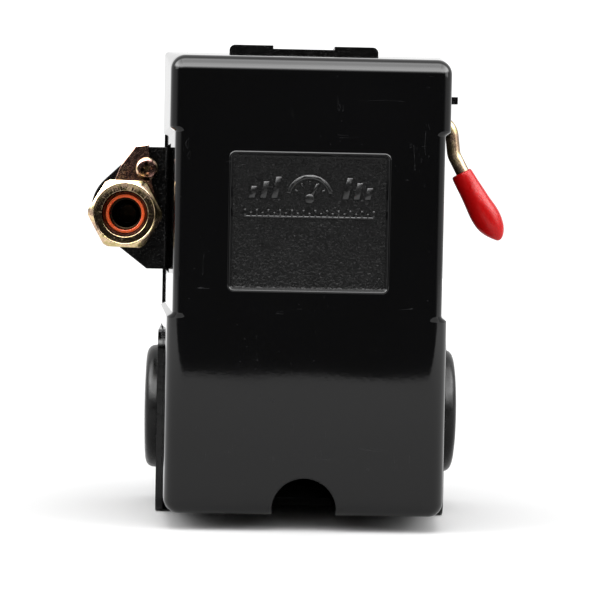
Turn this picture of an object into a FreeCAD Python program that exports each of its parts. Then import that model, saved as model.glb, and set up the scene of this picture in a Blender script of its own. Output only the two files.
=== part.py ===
import FreeCAD, Part
import math
import os

# Air compressor pressure switch with a side unloader valve and an off / auto lever, in millimetres.
# It is drawn with X across, Y back from the cover's front face and Z up from the surface that the base
# ears stand on. At the end every piece is moved so that the origin is the mouth of the pressure port.

V = FreeCAD.Vector
X_AXIS = V(1, 0, 0)
Y_AXIS = V(0, 1, 0)
Z_AXIS = V(0, 0, 1)

# ---- driving dimensions -------------------------------------------------------------------------
# moulded cover: a tray, open to the rear, with draft on all four sides
COVER_HALF = 28.8
COVER_BOTTOM = 3.5
COVER_TOP = 97.7
COVER_DEPTH = 57.7
COVER_DRAFT = 0.0495
COVER_TOP_DRAFT = 0.066
COVER_WALL = 2.0
FRONT_CORNER_R = 3.0
REAR_CORNER_R = 0.9
FRONT_ROUND = 2.2
INSET_HALF = 27.7
INSET_DRAFT = 0.0563
INSET_Z = (44.4, 82.6)
PLAQUE_SIZE = (32.5, 28.2)
PLAQUE_Z = 63.9
PLAQUE_DEEP = 0.7
PLAQUE_CORNER_R = 1.0
ARCH_R = 6.6
ARCH_Z = 4.45
ARCH_DEEP = 30.0
EAR_RELIEF_Y = 28.4
EAR_RELIEF_Z = 40.3
LEVER_NOTCH_Y = 37.0
LEVER_NOTCH_Z = (82.4, 93.0)

# steel base: a back plate with two ears folded forward, and a tongue on top
STEEL = 1.6
PLATE_Y = 58.0
PLATE_BACK = PLATE_Y + STEEL
PLATE_HALF = 31.4
PLATE_TOP = 100.2
TONGUE_HALF = 17.0
TONGUE_TOP = 102.75
TONGUE_BACK = 68.0
TAB_WIDTH = 10.0
TAB_TOP = 103.5
TAB_CORNER_R = 1.3
EAR_FRONT = 29.0
EAR_TOP = 39.7
EAR_CORNER_R = 4.0
EAR_FOOT_R = 3.0
CONDUIT_R = 11.1
CONDUIT_Y = 43.0
CONDUIT_Z = 22.0
PLUG_R = 13.6
PLUG_RISE = 2.9
PLUG_ROUND = 2.0
POST_X = 26.0

# pressure side, on the back of the plate
PORT_Z = 65.0
PORT_MOUTH_Y = 82.0
PORT_R = 5.55
PORT_DEEP = 12.0
FLANGE_HALF = 24.0
FLANGE_BACK = 68.0
PORT_FLATS = 24.0
PORT_COLLAR_R = 13.5
CHAMBER_R = 13.0
CHAMBER_DEEP = 3.0
PASSAGE_R = 2.5
DIAPHRAGM = 1.0
FLANGE_SCREW_AT = 19.0
PUSHER_R = 10.0
PUSHER_NOSE_R = 4.0

# rocker arm, pivoted above the diaphragm
PIVOT_Y = 53.0
PIVOT_Z = 88.0
PIVOT_R = 2.0
ARM_FRONT = 50.0
ARM_THICK = 2.0
ARM_HALF = 11.0
ARM_BOTTOM = 17.5
TAIL_HALF = 5.0
TAIL_TOP = 31.0
CHEEK_X = 13.0
RUNNING = 0.06
TIP_GAP = 0.1

# range and differential adjusters, on studs that stand on the plate
RANGE_AT = (0.0, 39.8)
RANGE_STUD_R = 3.0
RANGE_SEAT_Y = 21.4
RANGE_SPRING_R = 6.2
RANGE_WIRE_R = 1.1
DIFF_AT = (16.2, 50.0)
DIFF_STUD_R = 2.0
DIFF_SEAT_Y = 29.0
DIFF_SPRING_R = 3.6
DIFF_WIRE_R = 0.6

# contact block and its moving carrier
BLOCK_HALF = 24.0
BLOCK_Y = (39.9, 45.9)
BLOCK_Z = (8.0, 31.0)
POLE_X = 13.5
CONTACT_SPAN = 5.5
CONTACT_Z = 24.0
SCREW_Z = 14.0
STRIP = 1.2
STRIP_WIDTH = 6.4
CONTACT_R = 2.0

# unloader valve, left of the cover, with its axis along Y
VALVE_X = -38.3
VALVE_Z = 64.9
NUT_FLATS = 14.0
NUT_FRONT = 12.0
NUT_BACK = 21.0
SLEEVE_R = 4.1
SLEEVE_BORE_R = 3.5
SLEEVE_Y = (14.2, 18.2)
BRACKET_Y = 28.0
BRACKET_THICK = 2.0
BRACKET_Z = (53.0, 79.3)
LEG_X = -29.2
BRACKET_BEND = 1.2
NOSE_AT = (-37.2, 65.6)
NOSE_R = 9.0
VALVE_THREAD_R = 5.5
VALVE_BODY_R = 6.5
VALVE_NECK_R = 5.0
RETAINER = 1.2
RETAINER_SCREW_AT = (-34.25, 74.5)

# bent wire lever with a dipped grip
WIRE_R = 1.5
LEVER_Y = 40.0
LEVER_Z = 86.8
LEVER_DROP_X = 32.2
LEVER_KINK_AT = (33.1, 79.1)
LEVER_KINK_DEG = 28.0
LEVER_BEND_R = 4.0
FINGER_X = 8.0
FINGER_TOP = 94.0
GRIP_FROM_KINK = 4.3
GRIP_LENGTH = 17.2
GRIP_R = (2.2, 2.65, 3.1)


# ---- shape helpers ------------------------------------------------------------------------------
def box(x, y, z):
    """A block from three (low, high) pairs."""
    low = V(min(x), min(y), min(z))
    return Part.makeBox(abs(x[1] - x[0]), abs(y[1] - y[0]), abs(z[1] - z[0]), low)


def rod_y(r, x, z, y0, y1):
    """A round bar along Y."""
    return Part.makeCylinder(r, y1 - y0, V(x, y0, z), Y_AXIS)


def rod_x(r, y, z, x0, x1):
    """A round bar along X."""
    return Part.makeCylinder(r, x1 - x0, V(x0, y, z), X_AXIS)


def tube_y(r_out, r_in, x, z, y0, y1):
    """A ring or washer along Y."""
    return rod_y(r_out, x, z, y0, y1).cut(rod_y(r_in, x, z, y0 - 1, y1 + 1))


def prism_y(points, y0, y1):
    """A plate with the outline of the given (x, z) points, from y0 to y1."""
    outline = Part.makePolygon([V(x, y0, z) for x, z in points + points[:1]])
    return Part.Face(outline).extrude(V(0, y1 - y0, 0))


def hexagon_y(flats, x, z, y0, y1):
    """A six-sided bar along Y, with two of its flats level."""
    r = flats / math.sqrt(3)
    corners = [(x + r * math.cos(math.radians(60 * i)), z + r * math.sin(math.radians(60 * i))) for i in range(6)]
    return prism_y(corners, y0, y1)


def turned_y(profile, x, z):
    """A solid of revolution about a line along Y, from (radius, y) points."""
    outline = Part.makePolygon([V(x + r, y, z) for r, y in profile + profile[:1]])
    return Part.Face(outline).revolve(V(x, 0, z), Y_AXIS, 360)


def spring_y(r, wire_r, x, z, y0, y1, turns):
    """An open coil spring along Y that just fits between y0 and y1."""
    length = y1 - y0 - 2 * wire_r
    helix = Part.makeHelix(length / turns, length, r)
    ring = Part.Wire(Part.makeCircle(wire_r, V(r, 0, 0), Y_AXIS))
    coil = Part.Wire(helix).makePipeShell([ring], True, True)
    coil.rotate(V(0, 0, 0), X_AXIS, -90)
    coil.translate(V(x, y0 + wire_r, z))
    return coil


def rounded_outline(half, bottom, top, y, r):
    """A rectangle with round corners in a plane across Y, as a wire."""
    c = r * (1 - math.sqrt(0.5))
    corners = ((half, top, 1, 1), (-half, top, -1, 1), (-half, bottom, -1, -1), (half, bottom, 1, -1))
    edges = []
    last = None
    for i, (x, z, sx, sz) in enumerate(corners):
        side = V(x, y, z - sz * r)
        level = V(x - sx * r, y, z)
        first, second = (side, level) if i % 2 == 0 else (level, side)
        if last is not None:
            edges.append(Part.LineSegment(last, first).toShape())
        edges.append(Part.Arc(first, V(x - sx * c, y, z - sz * c), second).toShape())
        last = second
    start = V(half, y, top - r)
    edges.append(Part.LineSegment(last, start).toShape())
    return Part.Wire(edges)


def screw_y(x, z, r, y0, y1, head_r, head, toward_front):
    """A pan head screw along Y whose shank runs from y0 to y1, with its head on the front or rear end."""
    shank = rod_y(r, x, z, y0, y1)
    slot_half = 0.5
    if toward_front:
        cap = rod_y(head_r, x, z, y0 - head, y0)
        groove_y = (y0 - head - 1, y0 - head * 0.5)
    else:
        cap = rod_y(head_r, x, z, y1, y1 + head)
        groove_y = (y1 + head * 0.5, y1 + head + 1)
    arm = head_r * 0.55
    cross = box((x - arm, x + arm), groove_y, (z - slot_half, z + slot_half))
    cross = cross.fuse(box((x - slot_half, x + slot_half), groove_y, (z - arm, z + arm)))
    return shank.fuse(cap).cut(cross).removeSplitter()


def bent_wire(points, radius, bend):
    """A round wire along straight runs joined by tangent arcs."""
    edges = []
    start = points[0]
    for before, corner, after in zip(points, points[1:], points[2:]):
        inward = (before - corner).normalize()
        outward = (after - corner).normalize()
        half_turn = inward.getAngle(outward) / 2
        reach = bend / math.tan(half_turn)
        middle = (inward + outward).normalize() * (bend / math.sin(half_turn) - bend)
        first = corner + inward * reach
        second = corner + outward * reach
        edges.append(Part.LineSegment(start, first).toShape())
        edges.append(Part.Arc(first, corner + middle, second).toShape())
        start = second
    edges.append(Part.LineSegment(start, points[-1]).toShape())
    ring = Part.Wire(Part.makeCircle(radius, points[0], points[1] - points[0]))
    return Part.Wire(edges).makePipeShell([ring], True, True)


# ---- cover --------------------------------------------------------------------------------------
def drafted_block(inward, y0, y1):
    """The cover's outside, or that shape moved inward on all sides, between two depths."""
    outlines = []
    for y in (y0, y1):
        grow = COVER_DRAFT * y - inward
        share = y / COVER_DEPTH
        r = FRONT_CORNER_R + (REAR_CORNER_R - FRONT_CORNER_R) * share
        top = COVER_TOP + COVER_TOP_DRAFT * y - inward
        outlines.append(rounded_outline(COVER_HALF + grow, COVER_BOTTOM - grow, top, y, r))
    return Part.makeLoft(outlines, True, True)


def inset_wedge(side, inward):
    """What the shallow inset in one side of the cover takes away."""
    low, high = INSET_Z
    past = 5.0
    front = INSET_HALF - inward - INSET_DRAFT * past
    rear = INSET_HALF - inward + INSET_DRAFT * (COVER_DEPTH + past)
    far = 60.0
    corners = [(front, -past), (far, -past), (far, COVER_DEPTH + past), (rear, COVER_DEPTH + past)]
    outline = Part.makePolygon([V(side * x, y, low - inward) for x, y in corners + corners[:1]])
    return Part.Face(outline).extrude(V(0, 0, high - low + 2 * inward))


def front_cover():
    outside = drafted_block(0.0, 0.0, COVER_DEPTH)
    front_edges = [e for e in outside.Edges if e.BoundBox.YMax < 0.01]
    outside = outside.makeFillet(FRONT_ROUND, front_edges)
    hollow = drafted_block(COVER_WALL, COVER_WALL, COVER_DEPTH + 1)
    for side in (-1, 1):
        outside = outside.cut(inset_wedge(side, 0.0))
        hollow = hollow.cut(inset_wedge(side, COVER_WALL))
    cover = outside.cut(hollow)
    width, height = PLAQUE_SIZE
    plaque = box((-width / 2, width / 2), (-1, PLAQUE_DEEP), (PLAQUE_Z - height / 2, PLAQUE_Z + height / 2))
    corners = [e for e in plaque.Edges if e.BoundBox.YLength > 1]
    cover = cover.cut(plaque.makeFillet(PLAQUE_CORNER_R, corners))
    arch = rod_y(ARCH_R, 0, ARCH_Z, -1, ARCH_DEEP)
    cover = cover.cut(arch.fuse(box((-ARCH_R, ARCH_R), (-1, ARCH_DEEP), (-1, ARCH_Z))))
    beyond = COVER_DEPTH + 1
    thin = 4.2
    for side in (-1, 1):
        cover = cover.cut(box((side * 26, side * 40), (EAR_RELIEF_Y, beyond), (thin, EAR_RELIEF_Z)))
        cover = cover.cut(box((side * 29.3, side * 40), (EAR_RELIEF_Y, beyond), (-1, thin)))
    gap = 0.8
    notch_z = (BRACKET_Z[0] - gap, BRACKET_Z[1] + gap)
    cover = cover.cut(box((-40, -20), (BRACKET_Y - gap, beyond), notch_z))
    cover = cover.cut(box((20, 40), (LEVER_NOTCH_Y, beyond), LEVER_NOTCH_Z))
    return cover


# ---- base ---------------------------------------------------------------------------------------
def base_ear(side):
    """One side ear, folded forward from the plate, with a round hole for a cable fitting."""
    ear = box((side * (PLATE_HALF - STEEL), side * PLATE_HALF), (EAR_FRONT, PLATE_BACK), (0, EAR_TOP))
    front_edges = [e for e in ear.Edges if e.BoundBox.XLength > 1 and e.BoundBox.YMax < EAR_FRONT + 0.1]
    ear = ear.makeFillet(EAR_CORNER_R, [e for e in front_edges if e.BoundBox.ZMin > 1])
    foot = [e for e in ear.Edges if e.BoundBox.YMax < EAR_FRONT + 0.1 and e.BoundBox.ZMax < 0.1]
    ear = ear.makeFillet(EAR_FOOT_R, foot)
    return ear.cut(rod_x(CONDUIT_R, CONDUIT_Y, CONDUIT_Z, side * PLATE_HALF - 5, side * PLATE_HALF + 5))


def tongue_tab(side):
    """One of the two raised tabs of the tongue, with its outer corner rounded."""
    tab_x = (side * (TONGUE_HALF - TAB_WIDTH), side * TONGUE_HALF)
    tab = box(tab_x, (PLATE_Y, TONGUE_BACK), (TONGUE_TOP - STEEL, TAB_TOP))
    tab = tab.fuse(box(tab_x, (PLATE_Y, PLATE_BACK), (PLATE_TOP - 2, TAB_TOP))).removeSplitter()
    upper = [e for e in tab.Edges if e.BoundBox.YLength > 5 and e.BoundBox.ZMin > TAB_TOP - 0.1]
    outer = [e for e in upper if abs(e.CenterOfMass.x) > TONGUE_HALF - 0.1]
    return tab.makeFillet(TAB_CORNER_R, outer)


def base_frame():
    plate = box((-PLATE_HALF, PLATE_HALF), (PLATE_Y, PLATE_BACK), (0, PLATE_TOP))
    upper = [e for e in plate.Edges if e.BoundBox.YLength > 1 and e.BoundBox.ZMin > 1]
    frame = plate.makeFillet(3.0, upper)
    for side in (-1, 1):
        frame = frame.fuse(base_ear(side))
    neck = TONGUE_HALF - TAB_WIDTH + 1
    frame = frame.fuse(box((-neck, neck), (PLATE_Y, PLATE_BACK), (PLATE_TOP - 2, TONGUE_TOP)))
    frame = frame.fuse(box((-neck, neck), (PLATE_Y, TONGUE_BACK), (TONGUE_TOP - STEEL, TONGUE_TOP)))
    for side in (-1, 1):
        frame = frame.fuse(tongue_tab(side))
    post = box((POST_X, POST_X + STEEL), (34.0, PLATE_BACK), (82.0, 94.0))
    nib = box((POST_X, 33.6), (38.5, 41.5), (90.2, 91.8))
    frame = frame.fuse(post).fuse(nib)
    frame = frame.cut(rod_x(WIRE_R + RUNNING, LEVER_Y, LEVER_Z, POST_X - 1, POST_X + STEEL + 1))
    frame = frame.cut(rod_y(PUSHER_R + RUNNING, 0, PORT_Z, PLATE_Y - 1, PLATE_BACK + 1))
    for x, z, r in plate_holes():
        frame = frame.cut(rod_y(r, x, z, PLATE_Y - 1, PLATE_BACK + 1))
    return frame.removeSplitter()


def flange_screw_places():
    return [(sx * FLANGE_SCREW_AT, PORT_Z + sz * FLANGE_SCREW_AT) for sx in (-1, 1) for sz in (-1, 1)]


def bracket_screw_places():
    return [(-23.0, 57.0), (-23.0, 75.3)]


def rivet_places():
    return [(-8.0, 92.5), (8.0, 92.5)]


def block_screw_places():
    return [(-22.0, 13.5), (22.0, 13.5)]


GROUND_SCREW_AT = (23.5, 66.0)
SMALL_SCREW_R = 2.0
RIVET_R = 1.6


def plate_holes():
    """Every fastener hole in the back plate, as (x, z, radius)."""
    screws = flange_screw_places() + bracket_screw_places() + block_screw_places() + [GROUND_SCREW_AT]
    holes = [(x, z, SMALL_SCREW_R) for x, z in screws]
    holes += [(x, z, RIVET_R) for x, z in rivet_places()]
    holes.append((*RANGE_AT, RANGE_STUD_R))
    holes.append((*DIFF_AT, DIFF_STUD_R))
    return holes


def conduit_plug(side):
    """A round-edged snap-in plug that closes the cable hole in one ear."""
    low, high = sorted((side * PLATE_HALF, side * (PLATE_HALF + PLUG_RISE)))
    plug = rod_x(PLUG_R, CONDUIT_Y, CONDUIT_Z, low, high)
    rim = [e for e in plug.Edges if abs(e.CenterOfMass.x) > PLATE_HALF + PLUG_RISE - 0.1]
    plug = plug.makeFillet(PLUG_ROUND, rim)
    inner_end = 28.0
    lip = (28.2, 29.6)
    low, high = sorted((side * inner_end, side * (PLATE_HALF + 0.4)))
    plug = plug.fuse(rod_x(CONDUIT_R - RUNNING, CONDUIT_Y, CONDUIT_Z, low, high))
    low, high = sorted((side * lip[0], side * lip[1]))
    plug = plug.fuse(rod_x(CONDUIT_R + 0.4, CONDUIT_Y, CONDUIT_Z, low, high))
    low, high = sorted((side * (inner_end - 1), side * (PLATE_HALF + 0.4)))
    return plug.cut(rod_x(CONDUIT_R - 1.3, CONDUIT_Y, CONDUIT_Z, low, high)).removeSplitter()


# ---- pressure side ------------------------------------------------------------------------------
def diaphragm():
    sheet = box(
        (-FLANGE_HALF, FLANGE_HALF),
        (PLATE_BACK, PLATE_BACK + DIAPHRAGM),
        (PORT_Z - FLANGE_HALF, PORT_Z + FLANGE_HALF),
    )
    for x, z in flange_screw_places():
        sheet = sheet.cut(rod_y(SMALL_SCREW_R, x, z, PLATE_BACK - 1, PLATE_BACK + 3))
    return sheet


def pressure_flange():
    """A square cast plate that clamps the diaphragm, with a shallow pressure chamber in its front."""
    front = PLATE_BACK + DIAPHRAGM
    z_span = (PORT_Z - FLANGE_HALF, PORT_Z + FLANGE_HALF)
    body = box((-FLANGE_HALF, FLANGE_HALF), (front, FLANGE_BACK), z_span)
    corners = [e for e in body.Edges if e.BoundBox.YLength > 1]
    body = body.makeFillet(4.0, corners)
    body = body.cut(rod_y(CHAMBER_R, 0, PORT_Z, front - 1, front + CHAMBER_DEEP))
    body = body.cut(rod_y(PASSAGE_R, 0, PORT_Z, front, FLANGE_BACK + 1))
    for x, z in flange_screw_places():
        body = body.cut(rod_y(SMALL_SCREW_R, x, z, front - 1, FLANGE_BACK + 1))
    return body


def port_fitting():
    """The hexagonal pipe socket on the back of the flange."""
    collar_back = FLANGE_BACK + 3.0
    collar = rod_y(PORT_COLLAR_R, 0, PORT_Z, FLANGE_BACK, collar_back)
    blank_r = PORT_FLATS / math.sqrt(3)
    chamfer = 1.5
    blank = [(0, FLANGE_BACK), (blank_r, FLANGE_BACK), (blank_r, PORT_MOUTH_Y - chamfer)]
    blank += [(blank_r - 2 * chamfer, PORT_MOUTH_Y), (0, PORT_MOUTH_Y)]
    hexagon = hexagon_y(PORT_FLATS, 0, PORT_Z, collar_back, PORT_MOUTH_Y)
    fitting = collar.fuse(hexagon.common(turned_y(blank, 0, PORT_Z)))
    fitting = fitting.cut(rod_y(PORT_R, 0, PORT_Z, PORT_MOUTH_Y - PORT_DEEP, PORT_MOUTH_Y + 1))
    return fitting.cut(rod_y(PASSAGE_R, 0, PORT_Z, FLANGE_BACK - 1, PORT_MOUTH_Y)).removeSplitter()


def flange_screws():
    screws = [screw_y(x, z, SMALL_SCREW_R, PLATE_Y, FLANGE_BACK, 3.6, 2.8, False) for x, z in flange_screw_places()]
    return Part.makeCompound(screws)


def diaphragm_pusher():
    """A disc that rests on the diaphragm, with a nose that narrows to a small tip on the rocker."""
    tip = ARM_FRONT + ARM_THICK + TIP_GAP
    front = PLATE_Y - 0.9
    rear = PLATE_BACK - 0.05
    profile = [(0, tip), (0.9, tip), (2.8, tip + 0.9), (PUSHER_NOSE_R, tip + 2.2), (PUSHER_NOSE_R, front)]
    profile += [(PUSHER_R, front), (PUSHER_R, rear), (0, rear)]
    return turned_y(profile, 0, PORT_Z)


# ---- rocker -------------------------------------------------------------------------------------
def rocker_bracket():
    """A U-shaped bracket: two cheeks for the pivot pin, the right one longer to carry the lever too."""
    back = (PLATE_Y - STEEL, PLATE_Y)
    outer = CHEEK_X + STEEL
    bracket = box((-outer, outer), back, (80.0, 97.0))
    bracket = bracket.fuse(box((-outer, -CHEEK_X), (47.0, PLATE_Y), (82.0, 93.0)))
    bracket = bracket.fuse(box((CHEEK_X, outer), (35.0, PLATE_Y), (82.0, 93.0)))
    bracket = bracket.cut(rod_x(PIVOT_R, PIVOT_Y, PIVOT_Z, -30, 30))
    bracket = bracket.cut(rod_x(WIRE_R + RUNNING, LEVER_Y, LEVER_Z, CHEEK_X - 1, outer + 1))
    for x, z in rivet_places():
        bracket = bracket.cut(rod_y(RIVET_R, x, z, back[0] - 1, back[1] + 1))
    return bracket.removeSplitter()


def bracket_rivets():
    rivets = []
    for x, z in rivet_places():
        shank = rod_y(RIVET_R, x, z, PLATE_Y - STEEL, PLATE_BACK)
        head = turned_y([(0, PLATE_Y - STEEL - 1.3), (1.8, PLATE_Y - STEEL - 1.1),
                         (2.7, PLATE_Y - STEEL), (0, PLATE_Y - STEEL)], x, z)
        rivets.append(shank.fuse(head).removeSplitter())
    return Part.makeCompound(rivets)


def pivot_pin():
    return rod_x(PIVOT_R, PIVOT_Y, PIVOT_Z, -16.6, 16.6)


def pivot_clips():
    clips = []
    for x in (-15.5, 14.7):
        ring = rod_x(PIVOT_R + 2.0, PIVOT_Y, PIVOT_Z, x, x + 0.8)
        ring = ring.cut(rod_x(PIVOT_R, PIVOT_Y, PIVOT_Z, x - 1, x + 2))
        clips.append(ring.cut(box((x - 1, x + 2), (PIVOT_Y - 1.2, PIVOT_Y + 1.2), (PIVOT_Z, PIVOT_Z + 6))))
    return Part.makeCompound(clips)


def rocker_arm():
    """The plate that the diaphragm pushes, with its folded pivot ears, unloader finger and lever tab."""
    y = (ARM_FRONT, ARM_FRONT + ARM_THICK)
    ear_out = CHEEK_X - 0.2
    ear_z = (84.0, 92.0)
    arm = box((-ARM_HALF, ARM_HALF), y, (TAIL_TOP, ear_z[1]))
    arm = arm.fuse(box((-TAIL_HALF, TAIL_HALF), y, (ARM_BOTTOM, TAIL_TOP)))
    arm = arm.fuse(box((-ear_out, ear_out), y, ear_z))
    for side in (-1, 1):
        arm = arm.fuse(box((side * (ear_out - STEEL), side * ear_out), (47.5, 55.5), ear_z))
    arm = arm.fuse(box((VALVE_X - 3, -ARM_HALF), y, (VALVE_Z - 3, VALVE_Z + 3)))
    arm = arm.fuse(box((ARM_HALF, DIFF_AT[0] + 5.5), y, (DIFF_AT[1] - 5.5, DIFF_AT[1] + 5.5)))
    tab_front = 47.3
    tab_x = (FINGER_X - 3.5, FINGER_X + 2.8)
    arm = arm.fuse(box(tab_x, (tab_front, y[1]), (ear_z[0], ear_z[0] + ARM_THICK)))
    arm = arm.fuse(box(tab_x, (tab_front, tab_front + 1.8), (ear_z[0], 96.0)))
    arm = arm.cut(rod_x(PIVOT_R + RUNNING, PIVOT_Y, PIVOT_Z, -20, 20))
    arm = arm.cut(rod_y(RANGE_STUD_R + 1.6, *RANGE_AT, y[0] - 1, y[1] + 1))
    arm = arm.cut(rod_y(DIFF_STUD_R + 1.3, *DIFF_AT, y[0] - 1, y[1] + 1))
    window = (CONTACT_Z - 3.5, CONTACT_Z + 3.5)
    arm = arm.cut(box((-2.0, 2.0), (y[0] - 1, y[1] + 1), window))
    return arm.removeSplitter()


# ---- adjusters ----------------------------------------------------------------------------------
def stud(place, r, front):
    tip = 0.6
    x, z = place
    profile = [(0, front), (r - tip, front), (r, front + tip), (r, PLATE_BACK), (0, PLATE_BACK)]
    return turned_y(profile, x, z)


def adjuster_nut(place, stud_r, flats, height, seat_y):
    x, z = place
    nut = hexagon_y(flats, x, z, seat_y - height, seat_y)
    return nut.cut(rod_y(stud_r + RUNNING, x, z, seat_y - height - 1, seat_y + 1))


def adjuster_seat(place, stud_r, r, seat_y, thick):
    x, z = place
    return tube_y(r, stud_r + RUNNING, x, z, seat_y, seat_y + thick)


# ---- contacts -----------------------------------------------------------------------------------
def terminal_xs():
    return [pole + end for pole in (-POLE_X, POLE_X) for end in (-CONTACT_SPAN, CONTACT_SPAN)]


def contact_block():
    front, rear = BLOCK_Y
    low, high = BLOCK_Z
    block = box((-BLOCK_HALF, BLOCK_HALF), BLOCK_Y, BLOCK_Z)
    barrier = 6.0
    for x in (-POLE_X, 0, POLE_X):
        block = block.fuse(box((x - 0.8, x + 0.8), (front - barrier, front), (low, low + 11)))
    for side in (-1, 1):
        wall_x = (side * (BLOCK_HALF - 1.2), side * BLOCK_HALF)
        block = block.fuse(box(wall_x, (front - barrier, front), BLOCK_Z))
        leg_x = (side * (BLOCK_HALF - 4.5), side * BLOCK_HALF)
        block = block.fuse(box(leg_x, (rear, PLATE_Y), (low + 1, low + 10)))
    slot = 0.6
    block = block.cut(box((-2.8 - slot, 2.8 + slot), (front - 1, rear + 1), (CONTACT_Z - 2 - slot, CONTACT_Z + 2 + slot)))
    for x in terminal_xs():
        block = block.cut(rod_y(SMALL_SCREW_R, x, SCREW_Z, front - 1, rear - 1))
    for x, z in block_screw_places():
        block = block.cut(rod_y(SMALL_SCREW_R, x, z, rear + 1, PLATE_Y + 1))
    return block.removeSplitter()


def block_screws():
    screws = [screw_y(x, z, SMALL_SCREW_R, BLOCK_Y[1] + 1, PLATE_BACK, 3.5, 2.2, False) for x, z in block_screw_places()]
    return Part.makeCompound(screws)


def terminal_strips():
    strips = []
    front = BLOCK_Y[0] - STRIP
    for x in terminal_xs():
        strip = box((x - STRIP_WIDTH / 2, x + STRIP_WIDTH / 2), (front, BLOCK_Y[0]), (10, 27))
        strips.append(strip.cut(rod_y(SMALL_SCREW_R, x, SCREW_Z, front - 1, BLOCK_Y[0] + 1)))
    return Part.makeCompound(strips)


def terminal_screws():
    front = BLOCK_Y[0] - STRIP
    screws = [screw_y(x, SCREW_Z, SMALL_SCREW_R, front, BLOCK_Y[1] - 1, 3.3, 2.4, True) for x in terminal_xs()]
    return Part.makeCompound(screws)


def contact_buttons(y0, y1):
    return Part.makeCompound([rod_y(CONTACT_R, x, CONTACT_Z, y0, y1) for x in terminal_xs()])


BUTTON = 1.0
BRIDGE = 1.2
CLOSED_GAP = 0.05
FIXED_FACE = BLOCK_Y[0] - STRIP - BUTTON
MOVING_FACE = FIXED_FACE - CLOSED_GAP
BRIDGE_BACK = MOVING_FACE - BUTTON
BRIDGE_FRONT = BRIDGE_BACK - BRIDGE
CARRIER_BACK = BRIDGE_FRONT - 4.4
CARRIER_FRONT = CARRIER_BACK - 3.5


def contact_bridges():
    reach = CONTACT_SPAN + 2.2
    bars = []
    for pole in (-POLE_X, POLE_X):
        z = (CONTACT_Z - 2, CONTACT_Z + 2)
        bars.append(box((pole - reach, pole + reach), (BRIDGE_FRONT, BRIDGE_BACK), z))
    return Part.makeCompound(bars)


def contact_springs():
    springs = []
    for pole in (-POLE_X, POLE_X):
        springs.append(spring_y(1.85, 0.35, pole, CONTACT_Z, CARRIER_BACK + 0.02, BRIDGE_FRONT - 0.02, 3))
    return Part.makeCompound(springs)


def contact_carrier():
    """The insulating crossbar that holds the bridges, with a stem back through the block to the rocker."""
    bar_z = (CONTACT_Z - 3.5, CONTACT_Z + 3.5)
    carrier = box((-21.5, 21.5), (CARRIER_FRONT, CARRIER_BACK), bar_z)
    for pole in (-POLE_X, POLE_X):
        for low in (bar_z[0], bar_z[1] - 1.2):
            guide_y = (CARRIER_BACK, BRIDGE_BACK)
            carrier = carrier.fuse(box((pole - 3, pole + 3), guide_y, (low, low + 1.2)))
    stem_z = (CONTACT_Z - 2, CONTACT_Z + 2)
    shoulder = ARM_FRONT - 0.4
    hook = ARM_FRONT + ARM_THICK + 0.6
    carrier = carrier.fuse(box((-2.8, 2.8), (CARRIER_BACK, shoulder), stem_z))
    carrier = carrier.fuse(box((-1.4, 1.4), (shoulder, hook), stem_z))
    carrier = carrier.fuse(box((-2.8, 2.8), (hook, hook + 2), stem_z))
    return carrier.removeSplitter()


# ---- unloader valve -----------------------------------------------------------------------------
def valve_bracket_plate():
    """The bracket's front plate: a round nose about the valve, with straight edges above and below."""
    nose_x, nose_z = NOSE_AT
    low, high = BRACKET_Z
    y = BRACKET_Y
    shoulder_x = -35.8
    away = math.hypot(nose_x - shoulder_x, nose_z - high)
    turn = math.atan2(nose_z - high, nose_x - shoulder_x) - math.asin(NOSE_R / away)
    length = math.sqrt(away ** 2 - NOSE_R ** 2)
    touch = V(shoulder_x + length * math.cos(turn), y, high + length * math.sin(turn))
    rear = V(nose_x - NOSE_R, y, nose_z)
    half_way = (math.pi + math.atan2(touch.z - nose_z, touch.x - nose_x)) / 2
    middle = V(nose_x + NOSE_R * math.cos(half_way), y, nose_z + NOSE_R * math.sin(half_way))
    below = [rear, V(-44.6, y, 61.4), V(-39.8, y, 57.4), V(-34.1, y, low), V(LEG_X, y, low)]
    above = [V(LEG_X, y, high), V(shoulder_x, y, high), touch]
    outline = Part.Wire([Part.makePolygon(below + above), Part.Arc(touch, middle, rear).toShape()])
    return Part.Face(outline).extrude(V(0, BRACKET_THICK, 0))


def unloader_bracket():
    foot_y = (PLATE_Y - STEEL, PLATE_Y)
    leg = box((LEG_X - STEEL, LEG_X), (BRACKET_Y, PLATE_Y), BRACKET_Z)
    bracket = valve_bracket_plate().fuse(leg).removeSplitter()
    outer_bend = [e for e in bracket.Edges if e.BoundBox.ZLength > 20 and e.BoundBox.YMax < BRACKET_Y + 0.1]
    bracket = bracket.makeFillet(BRACKET_BEND, outer_bend)
    bracket = bracket.cut(box((LEG_X - 5, LEG_X + 5), (46.0, 55.0), (VALVE_Z - 4.6, VALVE_Z + 4.6)))
    bracket = bracket.fuse(box((LEG_X, -17.0), foot_y, BRACKET_Z))
    bracket = bracket.cut(rod_y(VALVE_THREAD_R + 0.1, VALVE_X, VALVE_Z, BRACKET_Y - 1, BRACKET_Y + 3))
    bracket = bracket.cut(rod_y(1.5, *RETAINER_SCREW_AT, BRACKET_Y - 1, BRACKET_Y + 3))
    for x, z in bracket_screw_places():
        bracket = bracket.cut(rod_y(SMALL_SCREW_R, x, z, foot_y[0] - 1, foot_y[1] + 1))
    return bracket.removeSplitter()


def bracket_screws():
    top = PLATE_Y - STEEL
    screws = [screw_y(x, z, SMALL_SCREW_R, top, PLATE_BACK, 3.6, 2.4, True) for x, z in bracket_screw_places()]
    return Part.makeCompound(screws)


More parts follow.
